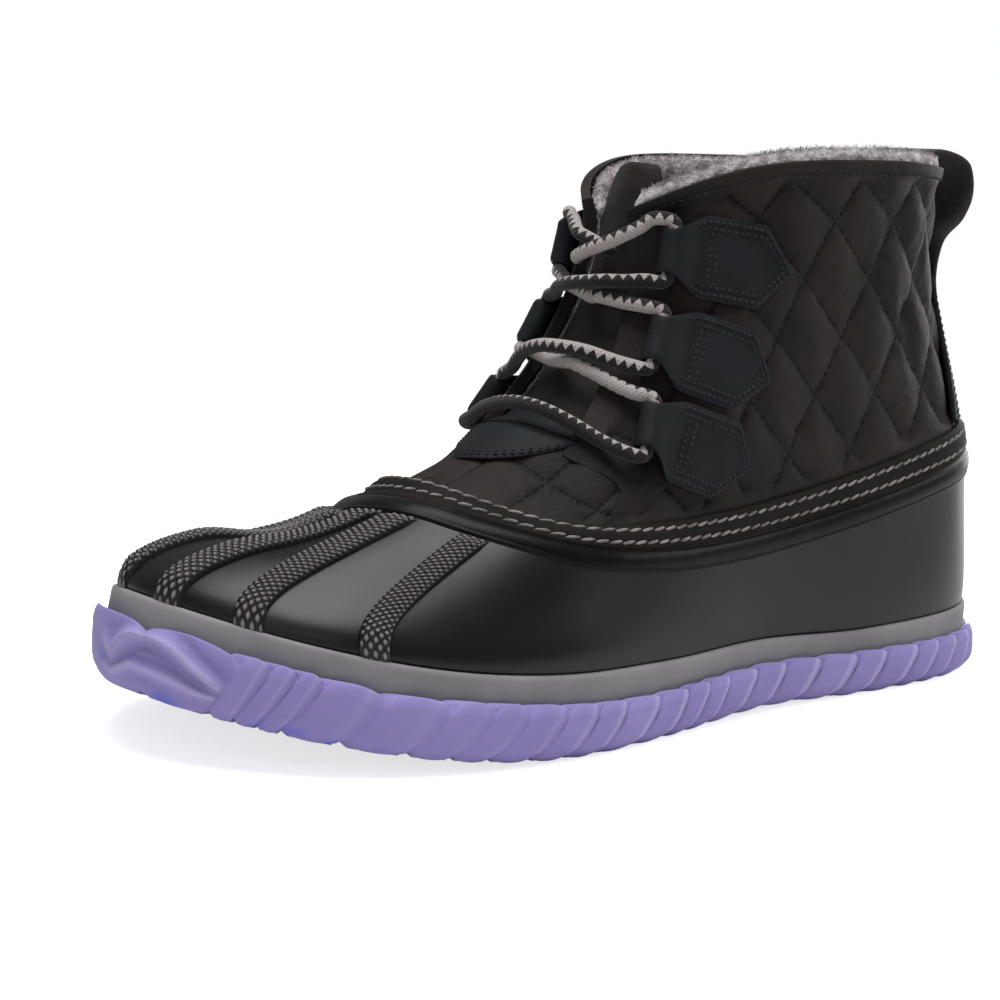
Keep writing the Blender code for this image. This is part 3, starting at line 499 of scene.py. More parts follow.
def newMaterial(name):
    material = bpy.data.materials.new(name)
    material.use_nodes = True
    tree = material.node_tree
    return material, tree, tree.nodes["Principled BSDF"]


def grain(tree, fine, broad):
    node = put(tree, "ShaderNodeGroup", node_tree=grainGroup)
    node.inputs["Fine"].default_value = fine
    node.inputs["Broad"].default_value = broad
    return node.outputs["Height"], node.outputs["Cloud"]


def bump(tree, shader, height, strength, distance):
    node = put(tree, "ShaderNodeBump", {"Height": height, "Strength": strength, "Distance": distance})
    tree.links.new(node.outputs["Normal"], shader.inputs["Normal"])


def shade(tree, shader, colour, roughness):
    for label, value in (("Base Color", colour), ("Roughness", roughness)):
        if isinstance(value, bpy.types.NodeSocket):
            tree.links.new(value, shader.inputs[label])
        else:
            shader.inputs[label].default_value = value


def makeShellRubber():
    # satin black rubber, with a painted highlight on the tops of the knurls
    look = {"deep": srgb(11, 11, 12), "worn": srgb(17, 16, 17), "knurlHighlight": srgb(132, 127, 129)}
    material, tree, shader = newMaterial("shell_rubber")
    height, cloud = grain(tree, 900.0, 28.0)
    colour = blend(tree, between(tree, cloud, 0.4, 0.7), look["deep"], look["worn"])
    knurl = attribute(tree, "knurl")
    # the knurls' tops are lightened by their height: a painted highlight
    colour = blend(tree, between(tree, knurl, 0.4, 1.0), colour, look["knurlHighlight"])
    gloss = between(tree, cloud, 0.35, 0.7, 0.3, 0.4)
    rough = calc(tree, "ADD", gloss, calc(tree, "MULTIPLY", knurl, 0.35))
    shade(tree, shader, colour, rough)
    shader.inputs["Specular IOR Level"].default_value = 0.34
    bump(tree, shader, height, 0.06, 0.0003)
    return material


def makeFlangeRubber():
    # matte brown-black strip under the stitches, with a smoother black bead below it
    material, tree, shader = newMaterial("flange_rubber")
    height, cloud = grain(tree, 1100.0, 50.0)
    strip = attribute(tree, "strip")
    worn = between(tree, cloud, 0.35, 0.7)
    bead = blend(tree, worn, srgb(11, 10, 10), srgb(17, 16, 16))
    band = blend(tree, worn, srgb(23, 19, 19), srgb(33, 27, 27))
    shade(tree, shader, blend(tree, strip, bead, band), between(tree, strip, 0.0, 1.0, 0.36, 0.7))
    shader.inputs["Specular IOR Level"].default_value = 0.12
    bump(tree, shader, height, 0.12, 0.0003)
    return material


def makeBandFoam():
    # matte grey rubber foam with faint marks
    material, tree, shader = newMaterial("band_foam")
    height, cloud = grain(tree, 700.0, 35.0)
    colour = blend(tree, between(tree, cloud, 0.35, 0.7), srgb(130, 128, 130), srgb(144, 142, 144))
    shade(tree, shader, colour, 0.75)
    shader.inputs["Specular IOR Level"].default_value = 0.25
    bump(tree, shader, height, 0.18, 0.0004)
    return material


def makeRopeRubber():
    # purple rubber, with a painted highlight along the strands' ridges and painted shade in the grooves,
    # stained blue low at the toe
    look = {"body": srgb(149, 138, 195), "soft": srgb(142, 131, 189), "ridge": srgb(186, 177, 220),
            "groove": srgb(124, 112, 173), "stain": srgb(103, 112, 204)}
    material, tree, shader = newMaterial("rope_rubber")
    height, cloud = grain(tree, 520.0, 45.0)
    colour = blend(tree, between(tree, cloud, 0.35, 0.68), look["soft"], look["body"])
    # the groove attribute darkens the grooves between strands: painted shade
    colour = blend(tree, attribute(tree, "groove"), colour, look["groove"])
    # the ridge attribute lightens the strands' crests and the toe's raised lines: a painted highlight
    colour = blend(tree, attribute(tree, "ridge"), colour, look["ridge"])
    patchy = between(tree, grain(tree, 900.0, 110.0)[1], 0.42, 0.6)
    colour = blend(tree, calc(tree, "MULTIPLY", attribute(tree, "stain"), patchy), colour, look["stain"])
    shade(tree, shader, colour, 0.6)
    shader.inputs["Specular IOR Level"].default_value = 0.3
    bump(tree, shader, height, 0.22, 0.0006)
    return material


def makeQuiltNylon():
    # warm near-black nylon; the UV map counts quilt cells, so stitch lines lie on its whole numbers
    look = {"face": srgb(43, 34, 35), "shade": srgb(28, 24, 25), "thread": srgb(15, 13, 13),
            "cell": 19.0, "pitch": 2.3}
    material, tree, shader = newMaterial("quilt_nylon")
    height, cloud = grain(tree, 1500.0, 40.0)
    colour = blend(tree, between(tree, cloud, 0.35, 0.68), look["shade"], look["face"])
    parts = put(tree, "ShaderNodeSeparateXYZ", {0: put(tree, "ShaderNodeTexCoord").outputs["UV"]})
    dots = []
    for here, there in ((0, 1), (1, 0)):
        off = calc(tree, "PINGPONG", parts.outputs[here], 0.5)
        line = between(tree, off, 0.01, 0.038, 1.0, 0.0)
        count = calc(tree, "MULTIPLY", parts.outputs[there], look["cell"] / look["pitch"])
        step = calc(tree, "PINGPONG", count, 0.5)
        dots.append(calc(tree, "MULTIPLY", line, between(tree, step, 0.12, 0.3, 0.25, 1.0)))
    marks = calc(tree, "MULTIPLY", calc(tree, "MAXIMUM", dots[0], dots[1]), attribute(tree, "quilted"))
    shade(tree, shader, blend(tree, marks, colour, look["thread"]), 0.62)
    shader.inputs["Sheen Weight"].default_value = 0.03
    shader.inputs["Sheen Roughness"].default_value = 0.5
    shader.inputs["Specular IOR Level"].default_value = 0.14
    wrinkle = calc(tree, "MULTIPLY", grain(tree, 170.0, 60.0)[0], 1.6)
    bump(tree, shader, calc(tree, "ADD", calc(tree, "SUBTRACT", height, marks), wrinkle), 0.32, 0.0007)
    return material


def makeNavyHide():
    # smooth blue-black hide of the tabs, heel panel and throat patch
    material, tree, shader = newMaterial("navy_hide")
    height, cloud = grain(tree, 1800.0, 70.0)
    colour = blend(tree, between(tree, cloud, 0.38, 0.66), srgb(26, 27, 30), srgb(31, 32, 37))
    shade(tree, shader, colour, 0.62)
    shader.inputs["Specular IOR Level"].default_value = 0.16
    bump(tree, shader, height, 0.2, 0.0004)
    return material


def makeFleece():
    # pale grey pile in soft clumps
    material, tree, shader = newMaterial("fleece")
    height, cloud = grain(tree, 750.0, 260.0)
    colour = blend(tree, between(tree, cloud, 0.3, 0.72), srgb(150, 143, 147), srgb(208, 201, 204))
    shade(tree, shader, colour, 1.0)
    shader.inputs["Sheen Weight"].default_value = 0.35
    shader.inputs["Sheen Roughness"].default_value = 0.4
    shader.inputs["Specular IOR Level"].default_value = 0.1
    bump(tree, shader, height, 0.9, 0.0012)
    return material


def makeLaceRope():
    # UV: length in millimetres along, turns round. A grey side meets a black side in saw teeth
    look = {"grey": srgb(172, 163, 164), "black": srgb(33, 29, 30), "tooth": 2.7, "reach": 0.75, "braid": 1.1}
    material, tree, shader = newMaterial("lace_rope")
    parts = put(tree, "ShaderNodeSeparateXYZ", {0: put(tree, "ShaderNodeTexCoord").outputs["UV"]})
    away = calc(tree, "MULTIPLY", calc(tree, "PINGPONG", parts.outputs[1], 0.5), 4.0)
    tooth = calc(tree, "PINGPONG", calc(tree, "DIVIDE", parts.outputs[0], look["tooth"]), 0.5)
    tooth = calc(tree, "MULTIPLY", tooth, 2.0)
    limit = calc(tree, "MULTIPLY_ADD", tooth, look["reach"], 0.5)
    side = between(tree, calc(tree, "SUBTRACT", limit, away), -0.06, 0.06)
    strand = calc(tree, "DIVIDE", parts.outputs[0], look["braid"])
    turns = [calc(tree, "MULTIPLY_ADD", parts.outputs[1], count, strand) for count in (7.0, -7.0)]
    left, right = (calc(tree, "SINE", calc(tree, "MULTIPLY", turn, 2 * np.pi)) for turn in turns)
    braid = calc(tree, "MAXIMUM", left, right)
    height = grain(tree, 1600.0, 200.0)[0]
    colour = blend(tree, side, look["black"], look["grey"])
    # the braid's hollows are darkened a little towards black: painted shade
    colour = blend(tree, between(tree, braid, -0.2, 0.6, 0.12, 0.0), colour, look["black"])
    shade(tree, shader, colour, 0.85)
    shader.inputs["Sheen Weight"].default_value = 0.15
    shader.inputs["Specular IOR Level"].default_value = 0.2
    bump(tree, shader, calc(tree, "ADD", braid, height), 0.4, 0.0005)
    return material


def makeWebbing():
    # black woven strap
    material, tree, shader = newMaterial("webbing")
    cloud = grain(tree, 1200.0, 60.0)[1]
    colour = blend(tree, between(tree, cloud, 0.35, 0.7), srgb(58, 53, 55), srgb(70, 65, 67))
    weave = put(tree, "ShaderNodeGroup", node_tree=weaveGroup)
    weave.inputs["Along"].default_value = 1.1
    weave.inputs["Across"].default_value = 1.1
    shade(tree, shader, colour, 0.8)
    shader.inputs["Specular IOR Level"].default_value = 0.2
    bump(tree, shader, weave.outputs["Height"], 0.5, 0.0004)
    return material


def makeThread(name, low, high):
    material, tree, shader = newMaterial(name)
    height, cloud = grain(tree, 2500.0, 300.0)
    shade(tree, shader, blend(tree, between(tree, cloud, 0.35, 0.65), low, high), 0.8)
    bump(tree, shader, height, 0.4, 0.0003)
    return material


shellRubber, flangeRubber = makeShellRubber(), makeFlangeRubber()
bandFoam, ropeRubber = makeBandFoam(), makeRopeRubber()
quiltNylon, navyHide, fleece = makeQuiltNylon(), makeNavyHide(), makeFleece()
laceRope, webbing = makeLaceRope(), makeWebbing()
paleThread = makeThread("pale_thread", srgb(96, 90, 88), srgb(144, 136, 132))
darkThread = makeThread("dark_thread", srgb(8, 8, 9), srgb(30, 30, 31))
print("materials ready")

# Sole


def ringAt(u, standOff, height):
    # points round the sole at a stand-off from the feather edge; the height may follow x
    plan, _ = soleEdge(u, np.broadcast_to(standOff, u.shape))
    z = height(plan[:, 0]) if callable(height) else height
    return np.column_stack([plan, np.broadcast_to(z, u.shape)])


def middleRing(ring):
    # a ring folded on to the line half-way between its two sides, which closes a stack
    other = ring[-np.arange(len(ring)) % len(ring)]
    return (ring + other) / 2


def putRings(name, rings, material, slot, values=None, **extra):
    # rings from top to bottom make a solid: both ends fold on to their middle lines
    stack = np.array([middleRing(rings[0]), *rings, middleRing(rings[-1])])
    full = {key: np.concatenate([value[:1], value, value[-1:]]) for key, value in (values or {}).items()}
    quads = gridQuads(len(stack), stack.shape[1], wrapColumns=True)
    return putPiece(name, stack, quads, material, slot, values=full, **extra)


ropeSole = {
    "rim": 12.0, "liftShare": 0.94, "floor": 6.0, "standOff": 5.8, "inside": 4.4,
    "scallop": 2.8, "swell": 2.1, "foot": 1.4, "slant": 10.0, "grooveDepth": 3.0,
    # ways from the toe between which the strands gain their relief; the rim's fall and the ways that it spans
    "flatTo": (80.0, 150.0), "rearDrop": (2.6, 70.0, 140.0),
    # how much higher the rim is at the toe: way past the fold, rise
    "toeRise": ((0, 3.6), (17, 3.6), (27, 2.4), (37, 1.8), (47, 1.0), (57, 0)),
    "columns": 16, "crest": 0.76, "toeFold": 3.0,
    # ends of the strands round from the toe on the outer side, which the inner side mirrors
    "ends": (30, 35.5, 40.2, 45, 57, 71.5, 81.5, 90.4, 101.2, 111, 120.7, 133.5, 145, 154, 163, 175.7, 188.2,
             202.7, 217.2, 228.8, 242.2, 251.3, 260.5, 270, 280, 290),
    "lobes": (-5.5, 11.5, 30),
    # blue stains low at the toe: way, half width, share of the height, half height
    "stains": ((9, 5, 0.3, 0.22), (18, 7, 0.02, 0.2), (41, 4, 0.02, 0.2), (47, 4, 0.04, 0.22),
               (55, 4, 0.0, 0.14)),
    # raised lines of the toe cap: way round from the toe, share of the height
    "ridges": (((-1, 0.2), (3, 0.44), (8, 0.78), (11.5, 0.9), (14, 0.87), (17.7, 0.78), (22.7, 0.62),
                (27.2, 0.5), (31, 0.42)),
               ((-1, 0.12), (3, 0.2), (9.4, 0.375), (12, 0.38), (16, 0.36), (23.2, 0.3), (31.5, 0.26))),
    # section of the side: share of the height, stand-off
    "bulges": ((0, -1.6), (0.06, -0.7), (0.2, 0.25), (0.5, 0.45), (0.82, 0.2), (0.94, -0.3), (1, -0.9)),
}


def strandPlaces():
    # columns round the sole from the heel, each with its way from the toe and its place in its own strand
    ends, count = ropeSole["ends"], ropeSole["columns"]
    found = []
    for half in (toeU * girth, (1 - toeU) * girth):
        limits = np.array([*ends[:-1], ends[-1] * half / 300.7, half])
        share = np.arange(count) / count
        ways = limits[:-1, None] + np.diff(limits)[:, None] * share
        found.append((ways.ravel(), np.tile(share, len(limits) - 1)))
    toeWays = np.arange(ends[0] - 0.75, -ends[0], -0.75)
    (outWay, outShare), (inWay, inShare) = found
    way = np.concatenate([[toeU * girth], outWay[::-1], toeWays, -inWay])
    share = np.concatenate([[0.0], outShare[::-1], np.full(len(toeWays), np.nan), inShare])
    return way, share


def ridgeAway(way, share, height):
    # distance on the toe's face to each raised line, by its nearest sample
    away = []
    for ridge in ropeSole["ridges"]:
        line = curveThrough(ridge, 90)
        gap = np.hypot(way[..., None] - line[:, 0], (share[..., None] - line[:, 1]) * height)
        away.append(gap.min(-1))
    return np.array(away)


def makeRopeSole():
    # each strand rises from its toe side to a crest near its heel side and drops; rows slant to the toe
    # as they go down
    shape = ropeSole
    way, q = strandPlaces()
    u = toeU - way / girth
    atToe = np.isnan(q)
    fold = np.abs(way - shape["toeFold"]) + shape["toeFold"]
    lobe = np.clip(np.searchsorted(shape["lobes"], fold, side="right") - 1, 0, 1)
    lobes = np.array(shape["lobes"], float)
    part = np.clip((fold - lobes[lobe]) / np.diff(lobes)[lobe], 0, 1)
    part = np.where(way < shape["toeFold"], 0.5 + 0.5 * np.clip((fold - shape["toeFold"]) / 27.0, 0, 1), part)
    phase = np.where(atToe, part, q)
    arch = np.sqrt(np.clip(1 - (2 * phase - 1) ** 2, 0, 1))
    crest = shape["crest"]
    fall = np.sqrt(np.clip(1 - ((phase - crest) / (1 - crest)) ** 2, 0, 1))
    climb = np.where(phase < crest, (phase / crest) ** 0.75, fall)
    slant = np.tanh(3 * np.sin(2 * np.pi * u)) * shape["slant"] / girth

    raised = np.interp(fold - shape["toeFold"], *np.transpose(shape["toeRise"]))
    drop, start, end = shape["rearDrop"]
    raised = raised - drop * smoothStep((fold - start) / (end - start))
    outerSide = smoothStep((way + 4) / 9)

    def top(x):
        return shape["rim"] + shape["liftShare"] * lift(x) + shape["scallop"] * arch + raised

    calm = 0.16 + 0.16 * smoothStep((60 - fold) / 14)
    calm = calm + 0.7 * smoothStep((fold - shape["flatTo"][0]) / (shape["flatTo"][1] - shape["flatTo"][0]))
    calm = np.minimum(calm, 1) * smoothStep((np.abs((u + 0.5) % 1.0 - 0.5) * girth - 1) / 9)
    inside = shape["inside"]
    rings = [ringAt(u, inside, lambda x: shape["floor"] + lift(x)),
             ringAt(u, inside, lambda x: top(x) - 0.6),
             ringAt(u, inside + 0.5, lambda x: top(x) - 0.1)]
    ridgeHighlights, grooveMarks, stainMarks = ([np.zeros(len(u))] * 3 for _ in range(3))
    for share in np.concatenate([[1, 0.97, 0.92], np.linspace(0.87, 0.08, 26), [0.04, 0.015, 0]]):
        place = u + slant * (0.5 - share ** 0.85)
        foot = (1 - arch) * shape["foot"]
        away = ridgeAway(fold, np.full(len(u), share), 19.0)
        lines = np.exp(-(away / 1.2) ** 1.5).max(0) * outerSide
        sunk = np.exp(-np.abs(away - 3.2) / 1.6).max(0) * outerSide
        toeFace = (0.4 + 0.8 * lines - 0.34 * sunk) * smoothStep((30.5 - fold) / 2.5)
        face = np.where(atToe, toeFace, calm * climb + (1 - calm) * 0.6) * min(1, 2.2 * share + 0.35)
        bulge = np.interp(share, *np.transpose(shape["bulges"]))
        ring = ringAt(place, shape["standOff"] + bulge + shape["swell"] * face,
                      lambda x: lift(x) + foot + share * (top(x) - lift(x) - foot))
        rings.append(ring)
        # painted highlight along each strand's crest, and along the toe's raised lines
        edge = calm * np.exp(-((phase - crest - 0.02) / 0.06) ** 2)
        fade = smoothStep(share / 0.25)
        ridgeHighlights.append(np.where(atToe, 0.75 * lines ** 1.5, 0.85 * edge) * fade)
        # painted shade in each groove between strands, and in the sunk bands beside the toe's raised lines
        dip = np.exp(-(np.minimum(phase, 1 - phase) / 0.055) ** 2)
        grooveMarks.append(np.where(atToe, 0.35 * sunk, dip * (0.2 + 0.8 * calm)) * (0.3 + 0.7 * fade))
        stains = [hump(fold, s, wide) * hump(share, q, tall) for s, wide, q, tall in shape["stains"]]
        stainMarks.append(np.max(stains, 0))
    lug = shape["grooveDepth"] * smoothStep((0.6 - arch) / 0.25)
    place = u + slant * 0.5
    for inset, rise in ((2.2, 0.0), (9, 0.0), (17.6, 0.0), (18.4, 1.0), (20, 3.0)):
        rings.append(ringAt(place, shape["standOff"] - inset, lambda x: lift(x) + np.maximum(lug, rise)))
        ridgeHighlights.append(np.zeros(len(u)))
        grooveMarks.append(np.zeros(len(u)))
        stainMarks.append(np.zeros(len(u)))
    marks = {"ridge": np.array(ridgeHighlights), "groove": np.array(grooveMarks), "stain": np.array(stainMarks)}
    putRings("outsole_rope", rings, ropeRubber, "rubber_purple", replaces=("outsole",), values=marks,
             flip=True)


treadBars = {
    # x of each bar's front at its middle, half span, and y of its middle
    "bars": ((-104, 10, 0), (-90, 13, 0), (-76, 14, 0.5), (-62, 14, 1), (22, 20, 2), (37, 22, 0),
             (52, 24, -1.5), (67, 25, -3.5), (82, 25, -5), (97, 21, -6)),
    "depth": 7.0, "sweep": 0.35, "height": 3.4,
}


def makeTreadBars():
    # a rounded block section carried along a shallow chevron, one for each bar
    shares = np.concatenate([[-1, -0.999], np.linspace(-0.97, 0.97, 23), [0.999, 1]])
    section = np.array([(0, 1), (0, 0.15), (0.06, 0.03), (0.15, 0), (0.85, 0), (0.94, 0.03), (1, 0.15),
                        (1, 1)], float)
    meshes = []
    for x, halfSpan, middle in treadBars["bars"]:
        thin = np.where(np.abs(shares) > 0.9995, 0.0, 1.0)[:, None]
        along = x - treadBars["depth"] * (0.5 + (section[:, 0] - 0.5) * thin)
        along = along + treadBars["sweep"] * halfSpan * np.abs(shares)[:, None]
        across = np.broadcast_to((middle + halfSpan * shares)[:, None], along.shape)
        height = lift(along) + treadBars["height"] * (0.5 + (section[:, 1] - 0.5) * thin)
        grid = np.stack([along, across, height], -1)
        meshes.append((grid.reshape(-1, 3), gridQuads(len(shares), len(section), wrapColumns=True)))
    points, quads = joinMeshes(meshes)
    zero = np.zeros(len(points))
    putPiece("tread_bars", points, quads, ropeRubber, "rubber_purple", replaces=("outsole",),
             values={"ridge": zero, "groove": zero, "stain": zero}, smooth=False)


soleBand = {
    "standOff": 4.1, "floor": 6.3, "columns": 420,
    # drop below the top edge and inset of each ring
    "steps": ((0.12, 0.7), (0.35, 0.35), (0.8, 0.08), (1.6, 0.0), (3.5, 0.05), (6.0, 0.12), (9.0, 0.1)),
}


def makeSoleBand():
    # the foam slab's side: a flat band with eased edges and a faint wave, closed above and below
    u = np.arange(soleBand["columns"]) / soleBand["columns"]
    wave = 0.12 * ripple(np.column_stack([np.cos(2 * np.pi * u), np.sin(2 * np.pi * u)]) * 90, 30.0, 4)
    stand = soleBand["standOff"] + wave
    fromHeel = ((u + 0.5) % 1.0 - 0.5) * girth
    stand = stand + 0.8 * lastShape["heelSwell"] * hump(fromHeel, 0, lastShape["swellHalf"])
    lean = lastShape["toeTuck"] * hump((toeU - u) * girth, 0, lastShape["tuckHalf"])
    rings = [ringAt(u, stand - 1.2 - lean, bandTop)]
    floor = soleBand["floor"] + 1
    for drop, inset in soleBand["steps"]:
        rings.append(ringAt(u, stand - inset - lean * max(0, 1 - drop / 9),
                            lambda x: np.maximum(bandTop(x) - drop, floor + lift(x))))
    rings.append(ringAt(u, stand - 1.0, lambda x: soleBand["floor"] + lift(x)))
    putRings("sole_band", rings, bandFoam, "rubber_grey", replaces=("midsole",), flip=True)


sockShape = {
    "columns": 260,
    # stand-off from the feather edge and height above the slab of each ring
    "rings": ((-20, 3.65), (-14, 3.6), (-8, 3.5), (-5, 3.35), (-3.2, 2.9), (-2.2, 2.0), (-1.9, 0.6),
              (-2.4, 0.3)),
}


def makeSock():
    # the fleece sock underfoot: rings with a soft rounded edge, closed on its middle line
    u = np.arange(sockShape["columns"]) / sockShape["columns"]
    rings = []
    for stand, rise in sockShape["rings"]:
        ring = ringAt(u, stand, lambda x: midsoleTop(x) + rise)
        ring[:, 2] += 0.15 * ripple(ring, 4.0, 9) * (rise > 2)
        rings.append(ring)
    putRings("sock", rings, fleece, "foam_grey", replaces=("insole",), flip=True)


makeRopeSole()
makeTreadBars()
makeSoleBand()
makeSock()
print("sole ready")

# Shell

shellShape = {
    "columns": 760, "wallRows": 34, "flange": 2.8, "lip": (1.5, 4.0),
    "bead": (11.3, 3.0, 1.1), "edge": (14.2, 0.6, 0.5),
    "nicks": ((8.2, 0.7, 0.35),), "stitchRows": (2.0, 6.0), "inside": 0.6,
    # the flange's climb above the rim, and more where it leaves the toe; how much it widens over the toe
    "climb": (4.0, 0.8, 48.0, 50.0), "widen": (0.26, 80.0),
    # depth of the eased rim rows, and the depth at which flange and wall meet
    "rimDepth": 16.0, "join": 14.75,
}


def rimProfile(depth):
    # stand-off below the rim: thin lip, flange with two sunk stitch lines and a nick, broad bead with a small
    # lower edge, wall
    drop, reach = shellShape["lip"]
    lip = shellShape["flange"] - drop * (1 - np.clip(depth / reach, 0, 1)) ** 2
    middle, half, height = shellShape["bead"]
    bead = height * np.clip(1 - ((depth - middle) / half) ** 2, 0, 1) ** 0.6
    place, wide, size = shellShape["edge"]
    bead = bead + size * hump(depth, place, wide)
    nicks = sum(size * hump(depth, place, wide) for place, wide, size in shellShape["nicks"])
    rows = sum(0.22 * hump(depth, place, 0.9) for place in shellShape["stitchRows"])
    return lip + bead - nicks - rows


def wayFromToe(u):
    # distance round from the toe at the feather edge, to either side
    return np.abs((toeU - np.asarray(u, float) + 0.5) % 1.0 - 0.5) * girth


def rimRise(u):
    # the flange's climb above the rim line, with a soft swell where it leaves the toe
    height, more, middle, half = shellShape["climb"]
    return height + more * hump(wayFromToe(u), middle, half)


def rimWiden(u):
    # scale of the flange's depth, one along the sides and more over the toe
    more, half = shellShape["widen"]
    return 1 + more * hump(wayFromToe(u), 0, half)


def columnHeights(u):
    # for each column: v samples and their lengths up the skin from the rim
    v = np.linspace(0, 1, 161)
    length = arcLength(skin(u[:, None], v[None]), 1)
    return v, length - length[:, -1:]


def shellRows(u):
    # points, normals and depth below the flange's edge for every row of the shell; the rim rows are eased by
    # a running mean up the foot, so the flange bends softly over the rim line
    rise, last = rimRise(u), shellShape["rimDepth"]
    rim = np.arange(-3, last + 3.01, 0.25)[:, None]
    vRim = vAtHeight(u[None], rise[None] - rim * rimWiden(u)[None])
    window = np.hanning(27)[1:-1]
    window /= window.sum()
    around = np.arange(12, 12 + int(last * 4) + 1)
    across = np.broadcast_to(u, vRim.shape)
    eased = [sum(weight * grid[around + k - 12] for k, weight in enumerate(window))
             for grid in (skin(across, vRim), skinNormal(across, vRim))]
    shares = np.linspace(0, 1, shellShape["wallRows"] + 1)[1:, None]
    vWall = vRim[around[-1]] * (1 - shares)
    across = np.broadcast_to(u, vWall.shape)
    total = -columnHeights(u)[1][:, 0] + rise
    depth = np.concatenate([np.broadcast_to(rim[around], eased[0].shape[:2]), last + (total - last) * shares])
    points = np.concatenate([eased[0], skin(across, vWall)])
    normals = unit(np.concatenate([eased[1], skinNormal(across, vWall)]))
    return points, normals, depth


def makeShell():
    # rows from the flange's edge down to the sole at the profile's stand-off, cut in two where the bead ends
    u = np.arange(shellShape["columns"]) / shellShape["columns"]
    base, normal, depth = shellRows(u)
    uneven = 0.1 * ripple(base, 34.0, 12) + 0.05 * ripple(base, 9.0, 13) * smoothStep((15 - depth) / 4)
    outer = base + normal * (rimProfile(depth) + uneven)[..., None]
    outer[-1, :, 2] = bandTop(outer[-1, :, 0]) + lastShape["seamGap"]
    inside = shellShape["inside"]
    lip = np.array([base[4] + normal[4] * inside, base[0] + normal[0] * (inside + 0.3)])
    foot = base[-1:] + normal[-1:] * inside
    foot[..., 2] = outer[-1, :, 2]
    grid = np.concatenate([lip, outer, foot])
    join = 2 + int(shellShape["join"] * 4)
    strip = np.concatenate([np.ones((2, len(u))), smoothStep((8.4 - depth) / 0.6), np.zeros((1, len(u)))])
    halves = (("shell_rim", slice(0, join + 1), flangeRubber, "strip", strip),
              ("shell_wall", slice(join, None), shellRubber, "knurl", np.zeros(strip.shape)))
    for name, rows, material, mark, values in halves:
        piece = grid[rows]
        putPiece(name, piece, gridQuads(len(piece), len(u), wrapColumns=True), material, "rubber_black",
                 replaces=("shell",), values={mark: values[rows]}, flip=True)
    threads = []
    columns = np.arange(len(u))
    for row in shellShape["stitchRows"]:
        place = 4 * row / rimWiden(u)
        k = place.astype(int)
        share = (place - k)[:, None]
        path, outs = (rows[k, columns] * (1 - share) + rows[k + 1, columns] * share
                      for rows in (base, normal))
        path = path + outs * (rimProfile(np.array(row)) + 0.16)
        path, outs = (np.concatenate([line, line[:1]]) for line in (path, outs))
        threads.append(stitchRow(path, outs, 3.9, 4.6, 0.85, 0.2))
    points, quads = joinMeshes(threads)
    putPiece("flange_stitches", points, quads, paleThread, "lace_grey")


railShape = {
    # way from the toe at the sole and at the top of each rail
    "places": ((-48, -42), (-27, -22), (-6, -6), (14, 12), (34, 25), (60, 49)),
    "half": 3.7, "height": 1.9, "knurl": 0.65, "pitch": (1.75, 2.1), "top": 14.4, "run": 5.0,
}


def makeRails():
    # a half-round strip down the toe's wall, cut by two crossing sets of grooves into pointed knurls, and
    # flatter at its top and foot
    for number, (place, high) in enumerate(railShape["places"]):
        middle = toeU - place / girth
        v, length = columnHeights(np.array([middle]))
        topU = toeU - high / girth
        start = railShape["top"] * float(rimWiden(topU)) - float(rimRise(topU))
        depth = np.linspace(start, -length[0, 0], int(-length[0, 0] / 0.2))
        rowV = np.interp(-depth, length[0], v)
        rowV[-1] = 0
        wide = railShape["half"]
        across = np.linspace(-wide, wide, 38)
        row = toeU - (place + (high - place) * rowV / rowV[0]) / girth
        scale = np.linalg.norm(skinSlopes(row, rowV)[0], axis=-1)
        u = row[:, None] + across[None] / scale[:, None]
        vGrid = np.broadcast_to(rowV[:, None], u.shape)
        arch = np.sqrt(np.clip(1 - (across / wide) ** 2, 0, 1))[None]
        foot = smoothStep((depth[-1] - depth + 0.6) / railShape["run"])[:, None]
        foot = foot * smoothStep((depth - start + 0.6) / railShape["run"])[:, None]
        down, over = depth[:, None] / railShape["pitch"][0], across[None] / railShape["pitch"][1]
        first, second = np.abs(np.sin(np.pi * (down + over))), np.abs(np.sin(np.pi * (down - over)))
        knurl = (first * second) ** 0.8 * smoothStep((wide + 0.1 - np.abs(across)) / 0.9)[None]
        raised = (arch ** 0.8 * railShape["height"] + railShape["knurl"] * knurl) * (0.25 + 0.75 * foot)
        grid = offSkin(u, vGrid, 2.7 + raised)
        grid[-1, :, 2] = bandTop(grid[-1, :, 0]) + lastShape["seamGap"]
        # the knurl height also sets the rubber's painted highlight on the knurls' tops
        putGrid(f"toe_rail_{number + 1}", grid, shellRubber, "rubber_black", replaces=("shell",),
                values={"knurl": knurl}, flip=True)


makeShell()
makeRails()
print("shell ready")

# Shaft

vFoot = float(vAtHeight(toeU, lastShape["throatFoot"]))


def throatHalf(v, side):
    # half width of the throat on one side, narrowing from its foot
    span = lastShape["throatHalfTops"][side] - lastShape["throatHalfFoot"]
    rise = np.clip((v - vFoot) / (lastShape["throatNarrowed"] - vFoot), 0, 1)
    return lastShape["throatHalfFoot"] + span * rise


def frontEdge(v, side):
    # half the gap between the quarters: the throat above, opening out over the vamp below
    return throatHalf(v, side) + 28 * (1 - np.clip((v - 1) / (vFoot - 1), 0, 1) ** 4)


def collarTop(u):
    # v of the collar's edge, which sinks a little at the heel
    u = np.asarray(u, float) % 1.0
    return 2 - lastShape["collarDip"] * smoothStep((0.15 - np.minimum(u, 1 - u)) / 0.13)


